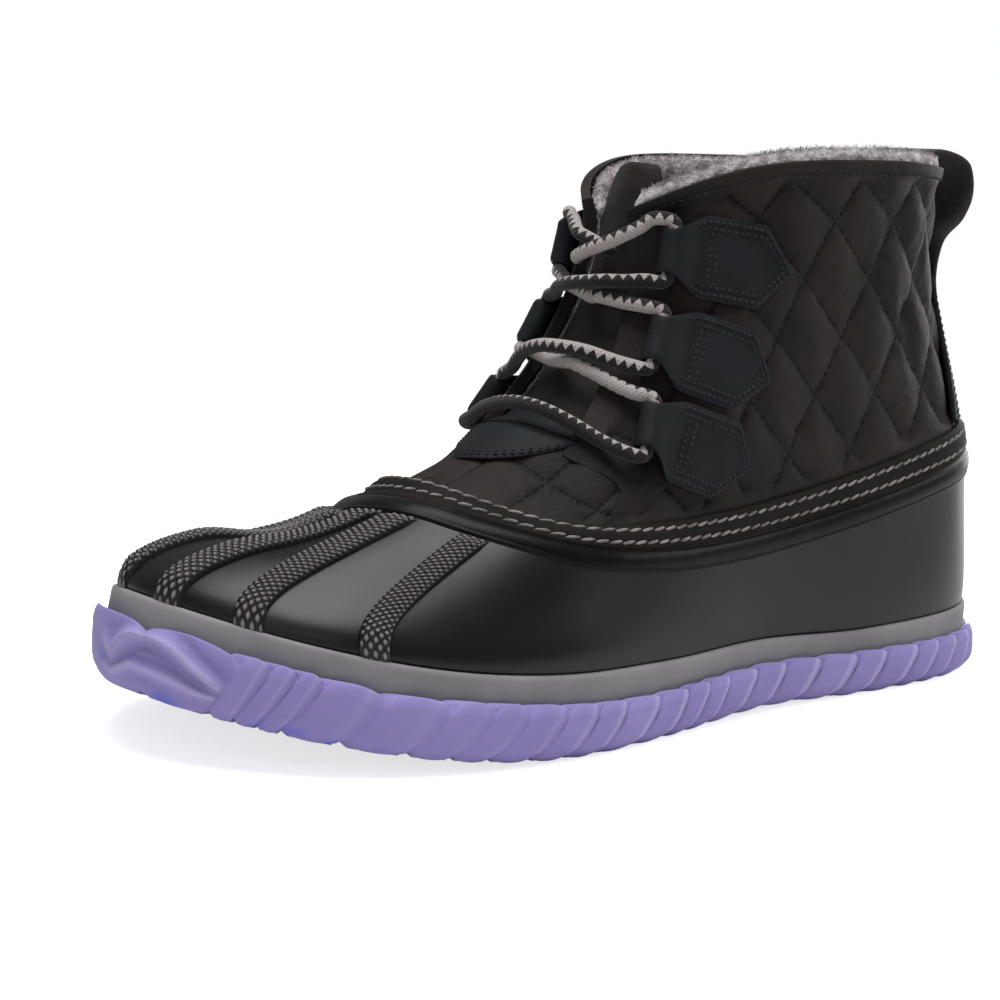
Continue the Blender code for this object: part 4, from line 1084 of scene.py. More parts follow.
quiltShape = {
    "rows": 165, "columns": 440, "low": -7.0, "rest": 0.25,
    "origin": (2.6, 127.4), "first": (9.2, -15.3), "second": (-16.0, -15.0),
    "crowd": 0.4, "depth": 2.2, "soft": 3.4, "binding": 3.3, "margin": 9.0,
    # soft folds: side, way from the side's middle, height, lean, half length, half width, depth
    "folds": ((1, -34, 100, 0.5, 18, 5, 0.8), (1, -44, 122, -0.2, 14, 4, 0.6), (1, 12, 74, 1.2, 14, 4, 0.6),
              (-1, -34, 100, 0.5, 18, 5, 0.8), (-1, 8, 84, 0.9, 16, 5, 0.6)),
}


def sideWay(u, v):
    # way along a row from the place where x is -50, forwards positive, for each side
    beside = besideAt(u, v)
    samples = np.linspace(1.0, 2.05, 60)
    ways = []
    for side in (1, -1):
        reach = np.linspace(10, 130, 121)
        x = skin(uBeside(samples[:, None], side * reach[None]), samples[:, None])[..., 0]
        ways.append(np.array([np.interp(50, -line, reach) for line in x]))
    outer = np.interp(v, samples, ways[0])
    inner = np.interp(v, samples, ways[1])
    return np.where(beside >= 0, outer - beside, inner + beside), np.where(beside >= 0, 1, -1)


def quiltRelief(i, j, spacing, depth, soft):
    # stitched lines pull the padding in: an exponential dip from each set of lines, joined without doubling
    near = [np.exp(-np.abs(k - np.round(k)) * gap / soft) for k, gap in zip((i, j), spacing)]
    return -depth * (near[0] + near[1] - near[0] * near[1]), np.maximum(*near)


def latticeOf(way, height, origin, first, second):
    # way and height counted in steps of the two lattice directions, by the inverse of their matrix
    inverse = np.linalg.inv(np.array([first, second]).T)
    x, z = way - origin[0], height - origin[1]
    return inverse[0, 0] * x + inverse[0, 1] * z, inverse[1, 0] * x + inverse[1, 1] * z


def makeQuarters():
    # one sheet from front edge to front edge by the heel, with hems rolled in along the front and the collar
    shape = quiltShape
    hem = np.array([-2.9, -2.2, -1.1, -0.35])
    rise = np.concatenate([np.linspace(0, 1, shape["rows"]), [1, 1, 1]])
    rowDrop = np.concatenate([np.zeros(shape["rows"]), [-0.35, -1.1, -2.6]])
    share = np.concatenate([np.zeros(4), np.linspace(0, 1, shape["columns"]), np.ones(4)])
    columnDrop = np.concatenate([hem, np.zeros(shape["columns"]), hem[::-1]])
    nominal = 0.9 + 1.1 * rise
    rowV = np.clip(nominal, 1.0, 2)
    out, into = uBeside(nominal, frontEdge(rowV, 1)), uBeside(nominal, -frontEdge(rowV, -1))
    u = out[:, None] - share[None] * (out + 1 - into)[:, None]
    low = vAtHeight(u, np.full(u.shape, shape["low"]))
    v = low + (collarTop(u) - low) * rise[:, None]
    base = skin(u, v)
    way, side = sideWay(u, v)
    height = base[..., 2] + shape["crowd"] * np.maximum(base[..., 2] - shape["origin"][1], 0)
    i, j = latticeOf(way, height, shape["origin"], shape["first"], shape["second"])
    area = abs(np.cross(np.array([*shape["first"], 0]), np.array([*shape["second"], 0]))[2])
    spacing = (area / np.hypot(*shape["second"]), area / np.hypot(*shape["first"]))
    relief, near = quiltRelief(i, j, spacing, shape["depth"], shape["soft"])
    above = heightAt(u, v)
    under = heightAt(u, collarTop(u)) - above
    beside, rowV = besideAt(u, v), np.clip(v, 1.0, 2)
    past = np.abs(beside) - np.where(beside >= 0, frontEdge(rowV, 1), frontEdge(rowV, -1))
    plain = smoothStep((shape["margin"] + 3 - past) / 5) * smoothStep((above - 24) / 8)
    bound = smoothStep((shape["binding"] + 3.0 - under) / 4.0)
    clear = above - rimRise(u)
    quilted = (1 - plain) * (1 - bound) * smoothStep((clear - 0.5) / 4)
    pucker = 0.2 * ripple(base, 3.4, 21) + 0.16 * ripple(base * np.array([1, 1, 2.2]), 6.0, 23)
    pucker = pucker * near * quilted
    loose = 0.3 * ripple(base, 17.0, 22)
    folds = np.zeros(u.shape)
    for foldSide, s, z, lean, long, wide, deep in shape["folds"]:
        du, dz = way - s, base[..., 2] - z
        along = (du * lean + dz) / np.hypot(1, lean)
        across = (du - dz * lean) / np.hypot(1, lean)
        profile = hump(across, 0, wide) - 0.6 * hump(across, wide, wide)
        folds -= (side == foldSide) * deep * hump(along, 0, long) * profile
    seam = -0.5 * np.exp(-np.abs(under - shape["binding"]) / 0.5)
    stand = shape["rest"] + relief * quilted + pucker + (loose + folds) * (1 - bound) * smoothStep(clear / 6)
    flush = smoothStep((9 - past) / 9) * smoothStep((32 - above) / 8)
    stand = stand * (1 - flush) + 0.05 * flush
    stand = stand + 0.3 * bound + seam + rowDrop[:, None] + columnDrop[None]
    stand = np.where(clear < 1.5, np.minimum(stand, 0.4), stand)
    grid = base + skinNormal(u, v) * stand[..., None]
    uv = np.stack([i, j], -1)
    piece = putGrid("quarters", grid, quiltNylon, "quilted_nylon", replaces=("shaft",), uv=uv,
                    values={"quilted": quilted})
    edgeRow = int(np.argmin(np.abs(under[:shape["rows"], 200] - shape["binding"])))
    outs = skinNormal(u[edgeRow, 4:-4], v[edgeRow, 4:-4])
    points, quads = stitchRow(base[edgeRow, 4:-4] + outs * 0.35, outs, 2.2, 1.7, 0.45)
    putPiece("collar_stitches", points, quads, darkThread, "lace_grey")


vampShape = {
    "rows": 90, "columns": 240, "low": -8.0, "high": 37.0, "reach": 60.0,
    "rest": -0.1, "depth": 0.9, "soft": 2.4, "cell": 19.0,
}


def makeVamp():
    # quilted sheet over the instep, mirrored about the middle, from under the flange to under the patch
    shape = vampShape
    heights = np.linspace(shape["low"], shape["high"], shape["rows"])
    vRow = vAtHeight(np.full(shape["rows"], toeU), heights)[:, None]
    front = np.linspace(shape["reach"], -shape["reach"], shape["columns"])[None]
    u = uBeside(vRow, front)
    v = np.broadcast_to(vRow, u.shape)
    above = heightAt(u, v)
    i = (np.abs(front) - 7) / shape["cell"] + 0 * above
    j = (above + 0.42 * np.abs(front) - 29.8) / shape["cell"]
    relief, near = quiltRelief(i, j, (shape["cell"], shape["cell"] * 0.92), shape["depth"], shape["soft"])
    base = skin(u, v)
    quilted = smoothStep((above - rimRise(u) - 0.5) / 4)
    stand = shape["rest"] + relief * quilted + 0.22 * ripple(base, 3.2, 31) * near * quilted
    stand += 0.2 * ripple(base, 15.0, 32) * quilted
    patchEdge = patchShape["dip"] + patchShape["corner"] * (np.abs(front) / patchShape["half"]) ** 1.6
    hidden = smoothStep((above - patchEdge - 1) / 4)
    stand = stand * (1 - hidden) - 1.1 * hidden
    grid = base + skinNormal(u, v) * stand[..., None]
    piece = putGrid("vamp", grid, quiltNylon, "quilted_nylon", replaces=("shaft",), uv=np.stack([i, j], -1),
                    values={"quilted": quilted}, flip=True)


patchShape = {
    "dip": 20.0, "corner": 14.5, "half": 25.0, "high": 43.0,
    "rows": 60, "columns": 81, "thick": 0.8,
}


def makePatch():
    # smooth patch at the foot of the throat: rounded lower edge on the vamp, sinking on to the tongue above
    shape = patchShape
    share = np.linspace(-1, 1, shape["columns"])[None]
    rise = np.linspace(0, 1, shape["rows"])[:, None]
    front = -share * (shape["half"] - 3.5 * rise)
    low = shape["dip"] + shape["corner"] * np.abs(share) ** 1.6
    height = low + (shape["high"] - low) * rise
    v = vAtHeight(np.full(height.shape, toeU), height)
    u = uBeside(v, front)
    stand = 0.6 - 4.2 * smoothStep((height - 33) / 9) + 0.15 * ripple(skin(u, v), 12.0, 41)
    soften = 0.45 * np.maximum(np.abs(share) ** 16, (1 - rise) ** 20)
    outer = offSkin(u, v, stand - soften)
    inner = offSkin(u, v, stand - shape["thick"])
    putWall("throat_patch", outer, inner, navyHide, "leather_black", replaces=("shaft",), flip=True)
    threads = []
    for row in (4, 8):
        path = offSkin(u[row, 4:-4], v[row, 4:-4], stand[row, 4:-4] + 0.05)
        threads.append(stitchRow(path, skinNormal(u[row, 4:-4], v[row, 4:-4]), 2.2, 1.6, 0.5))
    points, quads = joinMeshes(threads)
    putPiece("patch_stitches", points, quads, darkThread, "lace_grey")


def makeLining():
    # fleece behind the shaft: a closed tube low down, open at the throat higher up, faces inwards
    u = np.linspace(0, 1, 260, endpoint=False)[None]
    v = np.linspace(0.1, vFoot, 70)[:, None] + 0 * u
    u = u + 0 * v
    base = skin(u, v)
    tube = base - skinNormal(u, v) * (3.5 + 0.3 * ripple(base, 3.0, 51))[..., None]
    quads = gridQuads(*u.shape, wrapColumns=True)
    putPiece("foot_lining", tube, quads, fleece, "foam_grey", replaces=("shaft",))
    rise = np.linspace(vFoot, 1.97, 90)
    out, into = uBeside(rise, throatHalf(rise, 1) + 0.6), uBeside(rise, -throatHalf(rise, -1) - 0.6)
    share = np.linspace(0, 1, 300)[None]
    u = out[:, None] - share * (out + 1 - into)[:, None]
    v = rise[:, None] + 0 * u
    base = skin(u, v)
    sheet = base - skinNormal(u, v) * (3.5 + 0.35 * ripple(base, 2.6, 52))[..., None]
    putGrid("leg_lining", sheet, fleece, "foam_grey", replaces=("shaft",), flip=True)


def fuzz(name, points, outs, count, long, seed):
    # thin pointed hairs: each is one narrow folded quad from a seeded place on the pile
    dice = np.random.default_rng(seed)
    pick = dice.integers(0, len(points), count)
    root = points[pick] + dice.normal(scale=0.25, size=(count, 3))
    heading = unit(outs[pick] + dice.normal(scale=0.55, size=(count, 3)))
    across = unit(np.cross(heading, dice.normal(size=(count, 3)))) * 0.07
    size = long * dice.uniform(0.45, 1.0, count)[:, None]
    bend = dice.normal(scale=0.25, size=(count, 3)) * size
    middle = root + heading * size * 0.55
    tip = root + heading * size + bend
    hairs = np.stack([root - across, root + across, middle + across * 0.8 + bend * 0.3, tip], 1)
    quads = np.arange(count * 4).reshape(-1, 4)
    return putPiece(name, hairs.reshape(-1, 3), quads, fleece, "foam_grey")


collarRoll = {
    "columns": 640, "ring": 22, "centre": (-2.8, -0.3), "radii": (1.7, 3.0), "inner": 3.8,
    "tuft": 0.3, "hairs": 20000, "long": 1.05,
}


def makeCollarRoll():
    # fleece turned over the collar: an oval carried round the opening, tufted, its ends closed, lower on the
    # inner side
    shape = collarRoll
    tops = lastShape["throatHalfTops"]
    out, into = uBeside(np.array([2.0, 2.0]), np.array([tops[1] + 0.8, -tops[-1] - 0.8]))
    u = np.linspace(out, into - 1, shape["columns"])
    v = collarTop(u)
    base, normal = skin(u, v), skinNormal(u, v)
    up = unit(skinSlopes(u, v)[1])
    angle = np.linspace(0, 2 * np.pi, shape["ring"], endpoint=False)
    close = np.minimum(1, np.minimum(np.arange(len(u)), np.arange(len(u))[::-1]) / 8.0) ** 0.5
    offset = np.cos(angle)[None, :, None] * normal[:, None] * shape["radii"][0]
    offset = offset + np.sin(angle)[None, :, None] * up[:, None] * shape["radii"][1]
    lower = shape["centre"][1] - shape["inner"] * smoothStep((-base[:, 1] - 4) / 10)
    inwards = shape["centre"][0] - 0.3 * (shape["centre"][1] - lower)
    centre = base + normal * inwards[:, None] + up * lower[:, None]
    grid = centre[:, None] + offset * close[:, None, None]
    outs = unit(offset)
    tufts = shape["tuft"] * (ripple(grid, 2.4, 61) + 0.6 * ripple(grid, 1.3, 62)) * close[:, None]
    grid += outs * tufts[..., None]
    quads = gridQuads(*grid.shape[:2], wrapColumns=True)
    piece = putPiece("collar_fleece", grid, quads, fleece, "foam_grey", replaces=("shaft",))
    seen = (np.sin(angle) > -0.35) & (np.cos(angle) < 0.55)
    roots, ways = (rows[8:-8, seen].reshape(-1, 3) for rows in (grid, outs))
    fuzz("collar_fuzz", roots, ways, shape["hairs"], shape["long"], 63)


tongueShape = {
    "tuck": 10.0, "margin": 5.0, "free": 1.92, "lean": 0.2, "thick": 3.6,
    # rows above the throat: rise, share of the width, share of the crown
    "top": ((0, 1, 1), (7, 1, 0.8), (12, 1.0, 0.5), (16, 0.96, 0.25), (19, 0.86, 0.05), (20.5, 0.74, -0.1)),
    "rows": 70, "topRows": 26, "columns": 61,
}


def makeTongue():
    # rows follow the skin under the throat, then stand free: each higher row narrows and crowns
    shape = tongueShape
    foot = float(vAtHeight(toeU, lastShape["throatFoot"] - shape["tuck"]))
    share = np.linspace(-1, 1, shape["columns"])
    v = np.linspace(foot, shape["free"], shape["rows"])[:, None] + 0 * share[None]
    half = np.where(share[None] < 0, throatHalf(v, 1), throatHalf(v, -1)) + shape["margin"]
    u = uBeside(v, -share[None] * half)
    rows = offSkin(u, v, np.full(v.shape, -3.9))
    edge = rows[-1]
    middle = edge[shape["columns"] // 2]
    heading = unit((edge - rows[-3]).mean(0)) - np.array([shape["lean"], 0, 0])
    heights, widths, crowns = np.transpose(shape["top"])
    rise = np.linspace(0, heights[-1], shape["topRows"])[1:]
    wide = np.interp(rise, heights, widths)
    crown = np.interp(rise, heights, crowns)
    factor = np.stack([wide, wide, crown], -1)
    free = middle + (edge - middle)[None] * factor[:, None] + heading * rise[:, None, None]
    outer = np.concatenate([rows, free])
    normal = unit(np.cross(np.gradient(outer, axis=0), np.gradient(outer, axis=1)))
    along = np.linspace(0, 1, len(outer))[:, None]
    edgeShare = np.maximum(np.abs(share)[None], np.clip((along - 0.9) / 0.1, 0, 1))
    pad = shape["thick"] * (1 - 0.75 * edgeShare ** 5)
    soft = 0.3 * ripple(outer, 16.0, 71) - 0.5 * edgeShare ** 6
    face = outer + normal * np.minimum(soft, 0.2)[..., None]
    back = outer - normal * pad[..., None]
    uv = np.stack([share[None] * 20 + 0 * along, along * 90 + 0 * share[None]], -1)
    piece = putWall("tongue_pad", face, back, quiltNylon, "quilted_nylon", replaces=("tongue",), uv=uv,
                    values={"quilted": np.zeros(pad.shape)}, flip=True)
    rear, outs = back[34:-1, 1:-1], normal[34:-1, 1:-1]
    pile = rear - outs * (0.35 + 0.25 * ripple(rear, 2.6, 72))[..., None]
    putGrid("tongue_fleece", pile, fleece, "foam_grey", replaces=("tongue",))


makeQuarters()
makeVamp()
makePatch()
makeLining()
makeCollarRoll()
makeTongue()
print("shaft ready")

# Tabs, lace, heel panel and loop

tabShape = {
    # way of the fold beside the front on the outer and the inner side, its height, and the fall of the tip
    "tabs": {"top": (19.5, 21.0, 117.8, 0.15), "middle": (24.1, 25.0, 95.2, 0.4),
             "bottom": (35.7, 33.0, 74.1, 0.45)},
    "leather": 1.0, "tunnel": 2.32, "rest": 0.45, "stitchInsets": (1.5, 3.3), "bars": (12.2, 14.0),
    # half widths at the fold and in the middle; ways from the fold to the full width, the shoulder and the tip
    "foldHalf": 6.0, "half": 10.8, "flare": 11.5, "shoulder": 25.5, "tip": 35.0,
}


def tabMiddle(name, side):
    # middle of a tab's fold on the skin, and the headings from fold to tip and across
    besideOut, besideIn, height, fall = tabShape["tabs"][name]
    beside = besideOut if side > 0 else -besideIn
    v = np.linspace(1.05, 2, 240)
    u = uBeside(v, np.full(240, beside))
    z = skin(u, v)[:, 2]
    u, v = np.interp(height, z, u), np.interp(height, z, v)
    normal = skinNormal(u, v)
    back = np.array([-1.0, 0.3 * side, -fall])
    back = unit(back - normal * (normal @ back))
    across = np.cross(normal, back)
    return u, v, back, across * np.sign(across[2])


def tabPlaces(name, side, along, across):
    # u and v of places on a tab: from the fold's middle towards the tip, then across
    u, v, back, sideways = tabMiddle(name, side)
    along, across = np.broadcast_arrays(np.asarray(along, float), np.asarray(across, float))
    u, v = walk(np.full(along.shape, u), np.full(along.shape, v), back, along)
    return walk(u, v, sideways, across)


def tabHalf(along):
    # half width: narrow at the fold, full in the middle, pointed at the tip
    shape = tabShape
    widening = smoothStep((along - 2.5) / (shape["flare"] - 2.5))
    flare = shape["foldHalf"] + (shape["half"] - shape["foldHalf"]) * widening
    return flare * np.clip((shape["tip"] + 0.4 - along) / (shape["tip"] - shape["shoulder"]), 0, 1)


def tabRise(along):
    # how far the tab's underside has left the skin: flat behind, climbing over the tunnel in front
    shape = tabShape
    top = shape["rest"] + shape["leather"] + 2 * shape["tunnel"]
    start = shape["leather"] + shape["tunnel"]
    climb = smoothStep((shape["flare"] - along) / (shape["flare"] - start))
    return shape["rest"] + (top - shape["rest"]) * climb


def makeTab(name, side):
    # a leather strip from the tip to the fold, turned back under itself round the tunnel
    shape = tabShape
    leather, radius = shape["leather"], shape["tunnel"]
    centreAlong, centreOff = leather + radius, shape["rest"] + leather + radius
    tail = np.concatenate([shape["tip"] - np.array([0, 0.3, 0.9]), np.linspace(shape["tip"] - 1.5, 4.4, 42)])
    turn = np.radians(np.linspace(90, 270, 22))
    innerAlong = np.concatenate([tail, centreAlong + radius * np.cos(turn), [7.0]])
    outerAlong = np.concatenate([tail, centreAlong + (radius + leather) * np.cos(turn), [7.0]])
    innerOff = np.concatenate([tabRise(tail), centreOff + radius * np.sin(turn), [shape["rest"] + leather]])
    outerTurn = centreOff + (radius + leather) * np.sin(turn)
    outerOff = np.concatenate([tabRise(tail) + leather, outerTurn, [shape["rest"]]])
    share = np.sin(np.linspace(-1, 1, 27) * np.pi / 2)[None]
    halves = np.where(np.arange(len(innerAlong)) < len(tail), tabHalf(innerAlong), shape["foldHalf"])
    across = halves[:, None] * share
    ease = 0.35 * np.abs(share) ** 10 + np.where(outerAlong > shape["tip"] - 0.6, 0.3, 0.0)[:, None]
    u, v = tabPlaces(name, side, outerAlong[:, None], across)
    base, normal = skin(u, v), skinNormal(u, v)
    wavy = 0.12 * ripple(base, 9.0, 81)
    outer = base + normal * (outerOff[:, None] - ease + wavy)[..., None]
    u, v = tabPlaces(name, side, innerAlong[:, None], across)
    inner = offSkin(u, v, innerOff[:, None] + 0 * across)
    sideName = "outer" if side > 0 else "inner"
    putWall(f"tab_{name}_{sideName}", outer, inner, navyHide, "leather_black",
            replaces=(f"lace_tab_{name}_{sideName}",), flip=side < 0)
    threads = []
    for inset in shape["stitchInsets"]:
        along = np.linspace(8.0, shape["tip"], 120)
        half = tabHalf(along) - inset
        along, half = along[half > 0], half[half > 0]
        path = np.concatenate([np.column_stack([along, half]), np.column_stack([along, -half])[::-1]])
        threads.append(path)
    for place in shape["bars"]:
        reach = tabHalf(np.array(place)) - 3.3
        threads.append(np.column_stack([np.full(30, place), np.linspace(-reach, reach, 30)]))
    meshes = []
    for path in threads:
        path = evenly(path, 0.5)
        u, v = tabPlaces(name, side, path[:, 0], path[:, 1])
        normal = skinNormal(u, v)
        lifted = skin(u, v) + normal * (tabRise(path[:, 0]) + leather + 0.02)[:, None]
        meshes.append(stitchRow(lifted, normal, 1.75, 1.5, 0.8))
    return joinMeshes(meshes)


def makeTabs():
    threads = [makeTab(name, side) for name in tabShape["tabs"] for side in (1, -1)]
    points, quads = joinMeshes(threads)
    putPiece("tab_stitches", points, quads, darkThread, "lace_grey")


laceShape = {
    "radius": 1.8, "ride": 2.7, "leg": 98.0, "sides": 20,
    # tab, side, and 1 where the lace goes in at the upper mouth or -1 at the lower
    "way": (("top", -1, 1), ("middle", 1, 1), ("bottom", -1, 1),
            ("bottom", 1, -1), ("middle", -1, -1), ("top", 1, -1)),
    # stand-off in the middle and bow up the foot, for each crossing
    "crossings": ((-1.0, 2.0), (6.0, 6.0), (2.0, 11.0), (-1.0, 5.5), (6.0, 3.0)),
    # both ends: way beside the front, height, stand-off, stand-off in the middle
    "ends": ((6.5, 117.5, -0.8, -1.0), (-8.5, 114.5, 1.5, 5.0)),
    # where the grey side faces on each run, in turns from outwards, right-handed about the lace's way
    "turns": (0.36, 0.2, 0.17, -0.3, -0.08, -0.3, -0.14),
}


def lacePlaces(name, side, first):
    # the lace at one tab, from the mouth it goes in at: u, v and stand-off
    centreAlong = tabShape["leather"] + tabShape["tunnel"]
    centreOff = tabShape["rest"] + tabShape["leather"] + tabShape["tunnel"]
    fold = tabShape["foldHalf"]
    mouth = fold + 2.4
    near = centreAlong - 1.2
    along = np.array([-2.5, near, centreAlong, centreAlong, centreAlong, near, -2.5])
    across = np.array([mouth, mouth - 0.3, fold - 1.5, 0, 1.5 - fold, 0.3 - mouth, -mouth]) * first
    u, v = tabPlaces(name, side, along, across)
    return np.column_stack([u, v, np.full(7, centreOff)])


def laceRun(here, there, middle, bow):
    # one crossing: straight in u and v, drawn to a stand-off and bowed up the foot in its middle,
    # rising slowly from the inner side so that it hugs the instep there
    ride = laceShape["ride"]
    share = np.linspace(0, 1, 9)[1:-1]
    run = here + (there - here) * share[:, None]
    run[:, 1] += bow / laceShape["leg"] * np.sin(np.pi * share)
    if middle > ride:
        first, last = (2.0 if place[0] - toeU > 0.02 else 4.5 for place in (here, there))
        weight = smoothStep(first * share) * smoothStep(last * (1 - share))
    else:
        beside = (toeU - run[:, 0]) * np.linalg.norm(skinSlopes(np.full(7, toeU), run[:, 1])[0], axis=1)
        weight = smoothStep((lastShape["throatHalfTops"][1] - 1.5 - np.abs(beside)) / 7)
    run[:, 2] = ride + (middle - ride) * weight
    return run


def makeLace():
    # a round rope through the six tunnels; its UV counts millimetres along and turns from the grey side
    shape = laceShape
    tabs = [lacePlaces(*stop) for stop in shape["way"]]
    ends = []
    for beside, height, stand, _ in shape["ends"]:
        v = np.linspace(1.5, 2, 160)
        u = uBeside(v, np.full(160, beside))
        z = skin(u, v)[:, 2]
        ends.append(np.array([np.interp(height, z, u), np.interp(height, z, v), stand]))
    runs = [laceRun(ends[0], tabs[0][0], shape["ends"][0][3], 0.0)]
    runs += [laceRun(tabs[k][-1], tabs[k + 1][0], *shape["crossings"][k]) for k in range(5)]
    runs.append(laceRun(tabs[-1][-1], ends[1], shape["ends"][1][3], 0.0))
    places, turns = [ends[0][None]], [np.full(1, np.nan)]
    for k, run in enumerate(runs):
        places.append(run)
        turns.append(np.full(len(run), shape["turns"][k]))
        if k < len(tabs):
            places.append(tabs[k])
            turns.append(np.full(7, np.nan))
    places, turns = np.concatenate([*places, ends[1][None]]), np.concatenate([*turns, [np.nan]])
    known = ~np.isnan(turns)
    turns = np.interp(np.arange(len(turns)), np.flatnonzero(known), turns[known])
    points = offSkin(places[:, 0], places[:, 1], places[:, 2])
    outs = skinNormal(places[:, 0], places[:, 1])
    line = curveThrough(np.column_stack([points, outs, turns]), 4000)
    length = arcLength(line[:, :3])
    line = line[np.unique(np.searchsorted(length, np.arange(0, length[-1], 0.45)))]
    path, turn = line[:, :3], line[:, 6]
    tangent = unit(np.gradient(path, axis=0))
    normal = unit(line[:, 3:6] - tangent * (line[:, 3:6] * tangent).sum(-1, keepdims=True))
    side = np.cross(tangent, normal)
    angle = np.linspace(0, 1, shape["sides"] + 1)
    turned = (2 * np.pi * angle)[None, :, None]
    ring = np.cos(turned) * normal[:, None] + np.sin(turned) * side[:, None]
    close = np.minimum(1, np.minimum(np.arange(len(path)), np.arange(len(path))[::-1]) / 3.0) ** 0.5
    grid = path[:, None] + ring * (shape["radius"] * close)[:, None, None]
    length = arcLength(path)
    uv = np.stack(np.broadcast_arrays(length[:, None], angle[None] - turn[:, None]), -1)
    putGrid("lace_rope", grid, laceRope, "lace_grey", replaces=("lace",), uv=uv)
    return float(length[-1])


def uFromHeel(v, distance):
    # u at a distance round from the heel's centre line, outer side positive
    us = np.linspace(-0.14, 0.14, 141)
    found = np.empty(np.broadcast(v, distance).shape)
    for r, row in enumerate(v[:, 0]):
        line = skin(us, np.full(141, row))
        length = arcLength(line)
        found[r] = np.interp(distance[r], length - length[70], us)
    return found


heelPanel = {
    "top": 113.0, "rest": 0.75, "thick": 1.0, "rows": 70, "columns": 61,
    # half widths at its foot, midway and at its top
    "halves": (33.0, 21.0, 11.5),
}


def heelPlace(height):
    # v of a height on the heel's centre line
    v = np.linspace(1, 2.1, 300)
    return np.interp(height, skin(np.zeros_like(v), v)[:, 2], v)


def makeHeelPanel():
    # plain panel over the heel, narrowing upwards, with a stitched edge
    shape = heelPanel
    low = float(vAtHeight(0.0, -3.0))
    rise = np.linspace(0, 1, shape["rows"])
    v = (low + (heelPlace(shape["top"]) - low) * rise)[:, None]
    half = np.interp(rise, (0, 0.5, 1), shape["halves"])[:, None]
    share = np.linspace(-1, 1, shape["columns"])[None]
    u = uFromHeel(v, half * share)
    v = np.maximum(v + 0 * u, vAtHeight(u, np.full(u.shape, -3.0)))
    stand = shape["rest"] - 0.35 * np.maximum(np.abs(share) ** 14, rise[:, None] ** 22) + shape["thick"]
    stand = np.where(heightAt(u, v) < 1.2 + rimRise(u), np.minimum(stand, 0.5), stand)
    uv = np.stack([half * share, rise[:, None] * 47 + 0 * share], -1)
    outer, inner = offSkin(u, v, stand), offSkin(u, v, np.full(u.shape, 0.1))
    putWall("heel_panel", outer, inner, navyHide, "leather_black", replaces=("backstay",), uv=uv, flip=True)
    meshes = []
    for column in (3, 6, -7, -4):
        path = offSkin(u[:, column], v[:, column], stand[:, column] + 0.05)[8:]
        meshes.append(stitchRow(path, skinNormal(u[8:, column], v[8:, column]), 2.1, 1.5, 0.5))
    points, quads = joinMeshes(meshes)
    putPiece("heel_stitches", points, quads, darkThread, "lace_grey")


loopShape = {
    "width": 21.0, "thick": 1.4, "wrap": 2.6, "rows": 130, "columns": 25,
    "hug": ((0, 1), (0.14, 1), (0.4, 0), (0.55, 0), (0.75, 1.1), (1, 1.1)),
    "path": ((-5.0, -21.5), (-11.5, -15), (-14.2, -7), (-11.8, 0.3), (-5, 3.2), (1.5, 2.8)),
}


def makeLoop():
    # a flat strap: sewn low on the heel panel, bowed out and up, then over the collar's edge
    shape = loopShape
    mid = shape["thick"] / 2
    collar = skin(np.zeros(1), np.full(1, 2.0))[0]

    def atHeel(z, stand):
        return offSkin(np.zeros(1), np.array([heelPlace(z)]), np.full(1, stand))[0]

    below = [atHeel(z, 1.9 + mid + ease) for z, ease in ((105, 0), (112, 0.6))]
    tucked = [atHeel(z, -4.3 - mid) for z in (142, 134)]
    free = [collar + np.array([dx, 0, dz]) for dx, dz in shape["path"]]
    path = curveThrough(below + free + tucked, shape["rows"])
    hug = np.interp(np.linspace(0, 1, shape["rows"]), *np.transpose(shape["hug"]))
    along = unit(np.gradient(path, axis=0))
    normal = np.cross(along, [0, 1, 0])
    wide = np.linspace(-1, 1, shape["columns"])
    grid = np.repeat(path[:, None], shape["columns"], 1)
    grid[..., 0] += hug[:, None] * shape["wrap"] * wide ** 2
    grid[..., 1] += wide * shape["width"] / 2
    thin = mid * (1 - 0.45 * np.abs(wide) ** 12)[None, :, None]
    uv = np.stack(np.broadcast_arrays(arcLength(path)[:, None], wide[None] * shape["width"] / 2), -1)
    half = normal[:, None] * thin
    putWall("loop_strap", grid + half, grid - half, webbing, "webbing_black", replaces=("pull_loop",), uv=uv,
            flip=True)


makeTabs()
laceLength = makeLace()
makeHeelPanel()
makeLoop()
print("fittings ready, lace length", round(laceLength))

# Floor, lights and camera

studio = {
    "camera": (376.2, 438.865, 137.8), "right": (-0.7892, 0.6125, 0.0457), "up": (-0.0558, -0.1457, 0.9878),
    "look": (-0.6117, -0.7769, -0.1491), "lens": 79.79,
    # name, place, size and power; all aim at the boot, 0.06 m above the floor's middle
    "lights": (("top", (0.12, 0.05, 1.05), 0.7, 11.0), ("front", (1.0, 0.9, 0.7), 0.9, 1.8),
               ("right", (-0.85, 0.45, 0.45), 0.45, 1.7), ("back", (-0.95, -0.4, 0.34), 0.8, 7.0)),
    "world": 0.22, "floorColour": srgb(235, 235, 235), "floorGlow": 0.72, "floorFade": (0.45, 0.8),
}


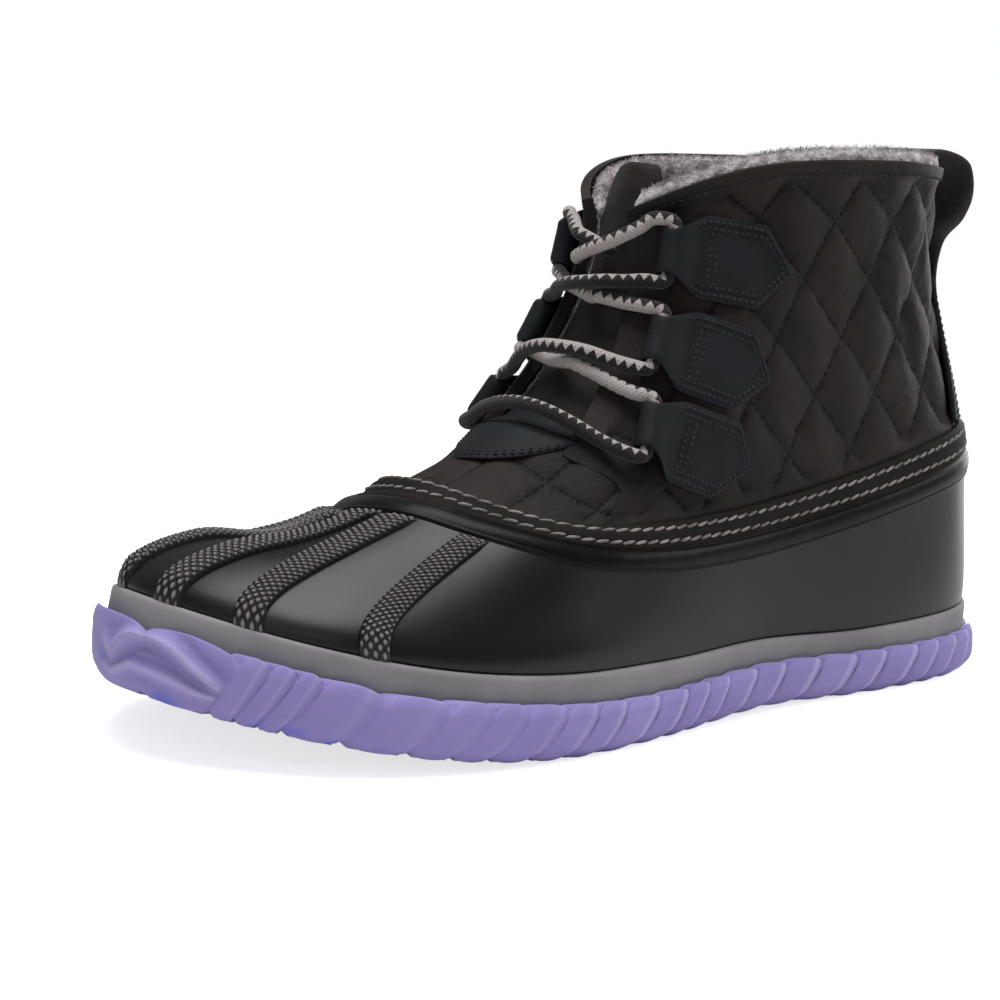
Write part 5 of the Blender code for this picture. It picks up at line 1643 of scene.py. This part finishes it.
def makeStudio():
    # a pale floor that fades out, four area lights, a white world and the camera
    scene = bpy.context.scene
    floorMesh = bpy.data.meshes.new("floor")
    reach = 6.0
    corners = [(-reach, -reach, 0), (reach, -reach, 0), (reach, reach, 0), (-reach, reach, 0)]
    floorMesh.from_pydata(corners, [], [(0, 1, 2, 3)])
    material, tree, shader = newMaterial("floor_paint")
    shade(tree, shader, studio["floorColour"], 0.9)
    shader.inputs["Specular IOR Level"].default_value = 0.1
    shader.inputs["Emission Color"].default_value = (1, 1, 1, 1)
    seen = put(tree, "ShaderNodeLightPath").outputs["Is Camera Ray"]
    tree.links.new(calc(tree, "MULTIPLY", seen, studio["floorGlow"]), shader.inputs["Emission Strength"])
    place = put(tree, "ShaderNodeTexCoord").outputs["Object"]
    away = put(tree, "ShaderNodeVectorMath", {0: place}, operation="LENGTH").outputs["Value"]
    tree.links.new(between(tree, away, *studio["floorFade"], 1.0, 0.0), shader.inputs["Alpha"])
    floorMesh.materials.append(material)
    floor = bpy.data.objects.new("floor", floorMesh)
    scene.collection.objects.link(floor)
    for name, place, size, power in studio["lights"]:
        lamp = bpy.data.lights.new(name, "AREA")
        lamp.size = size
        lamp.energy = power
        light = bpy.data.objects.new(name, lamp)
        back = unit(np.array(place) - np.array([0, 0, 0.06]))
        across = unit(np.cross([0.0, 0.0, 1.0], back))
        turn = np.eye(4)
        turn[:3, :3] = np.column_stack([across, np.cross(back, across), back])
        turn[:3, 3] = place
        light.matrix_world = Matrix(turn.tolist())
        scene.collection.objects.link(light)
    world = bpy.data.worlds.new("studio")
    world.use_nodes = True
    tree = world.node_tree
    tree.nodes.clear()
    seen = put(tree, "ShaderNodeLightPath").outputs["Is Camera Ray"]
    strength = calc(tree, "MULTIPLY_ADD", seen, 1.0 - studio["world"], studio["world"])
    glow = put(tree, "ShaderNodeBackground", {"Color": (1, 1, 1, 1), "Strength": strength})
    put(tree, "ShaderNodeOutputWorld", {"Surface": glow.outputs[0]})
    scene.world = world
    lens = bpy.data.cameras.new("photo")
    lens.lens = studio["lens"]
    lens.sensor_width = 36
    lens.clip_start = 0.01
    camera = bpy.data.objects.new("photo", lens)
    turn = np.eye(4)
    turn[:3, :3] = np.column_stack([studio["right"], studio["up"], -np.array(studio["look"])])
    turn[:3, 3] = np.array(studio["camera"]) * mm
    camera.matrix_world = Matrix(turn.tolist())
    scene.collection.objects.link(camera)
    scene.camera = camera
    scene.view_settings.view_transform = "Standard"
    scene.view_settings.look = "None"


makeStudio()
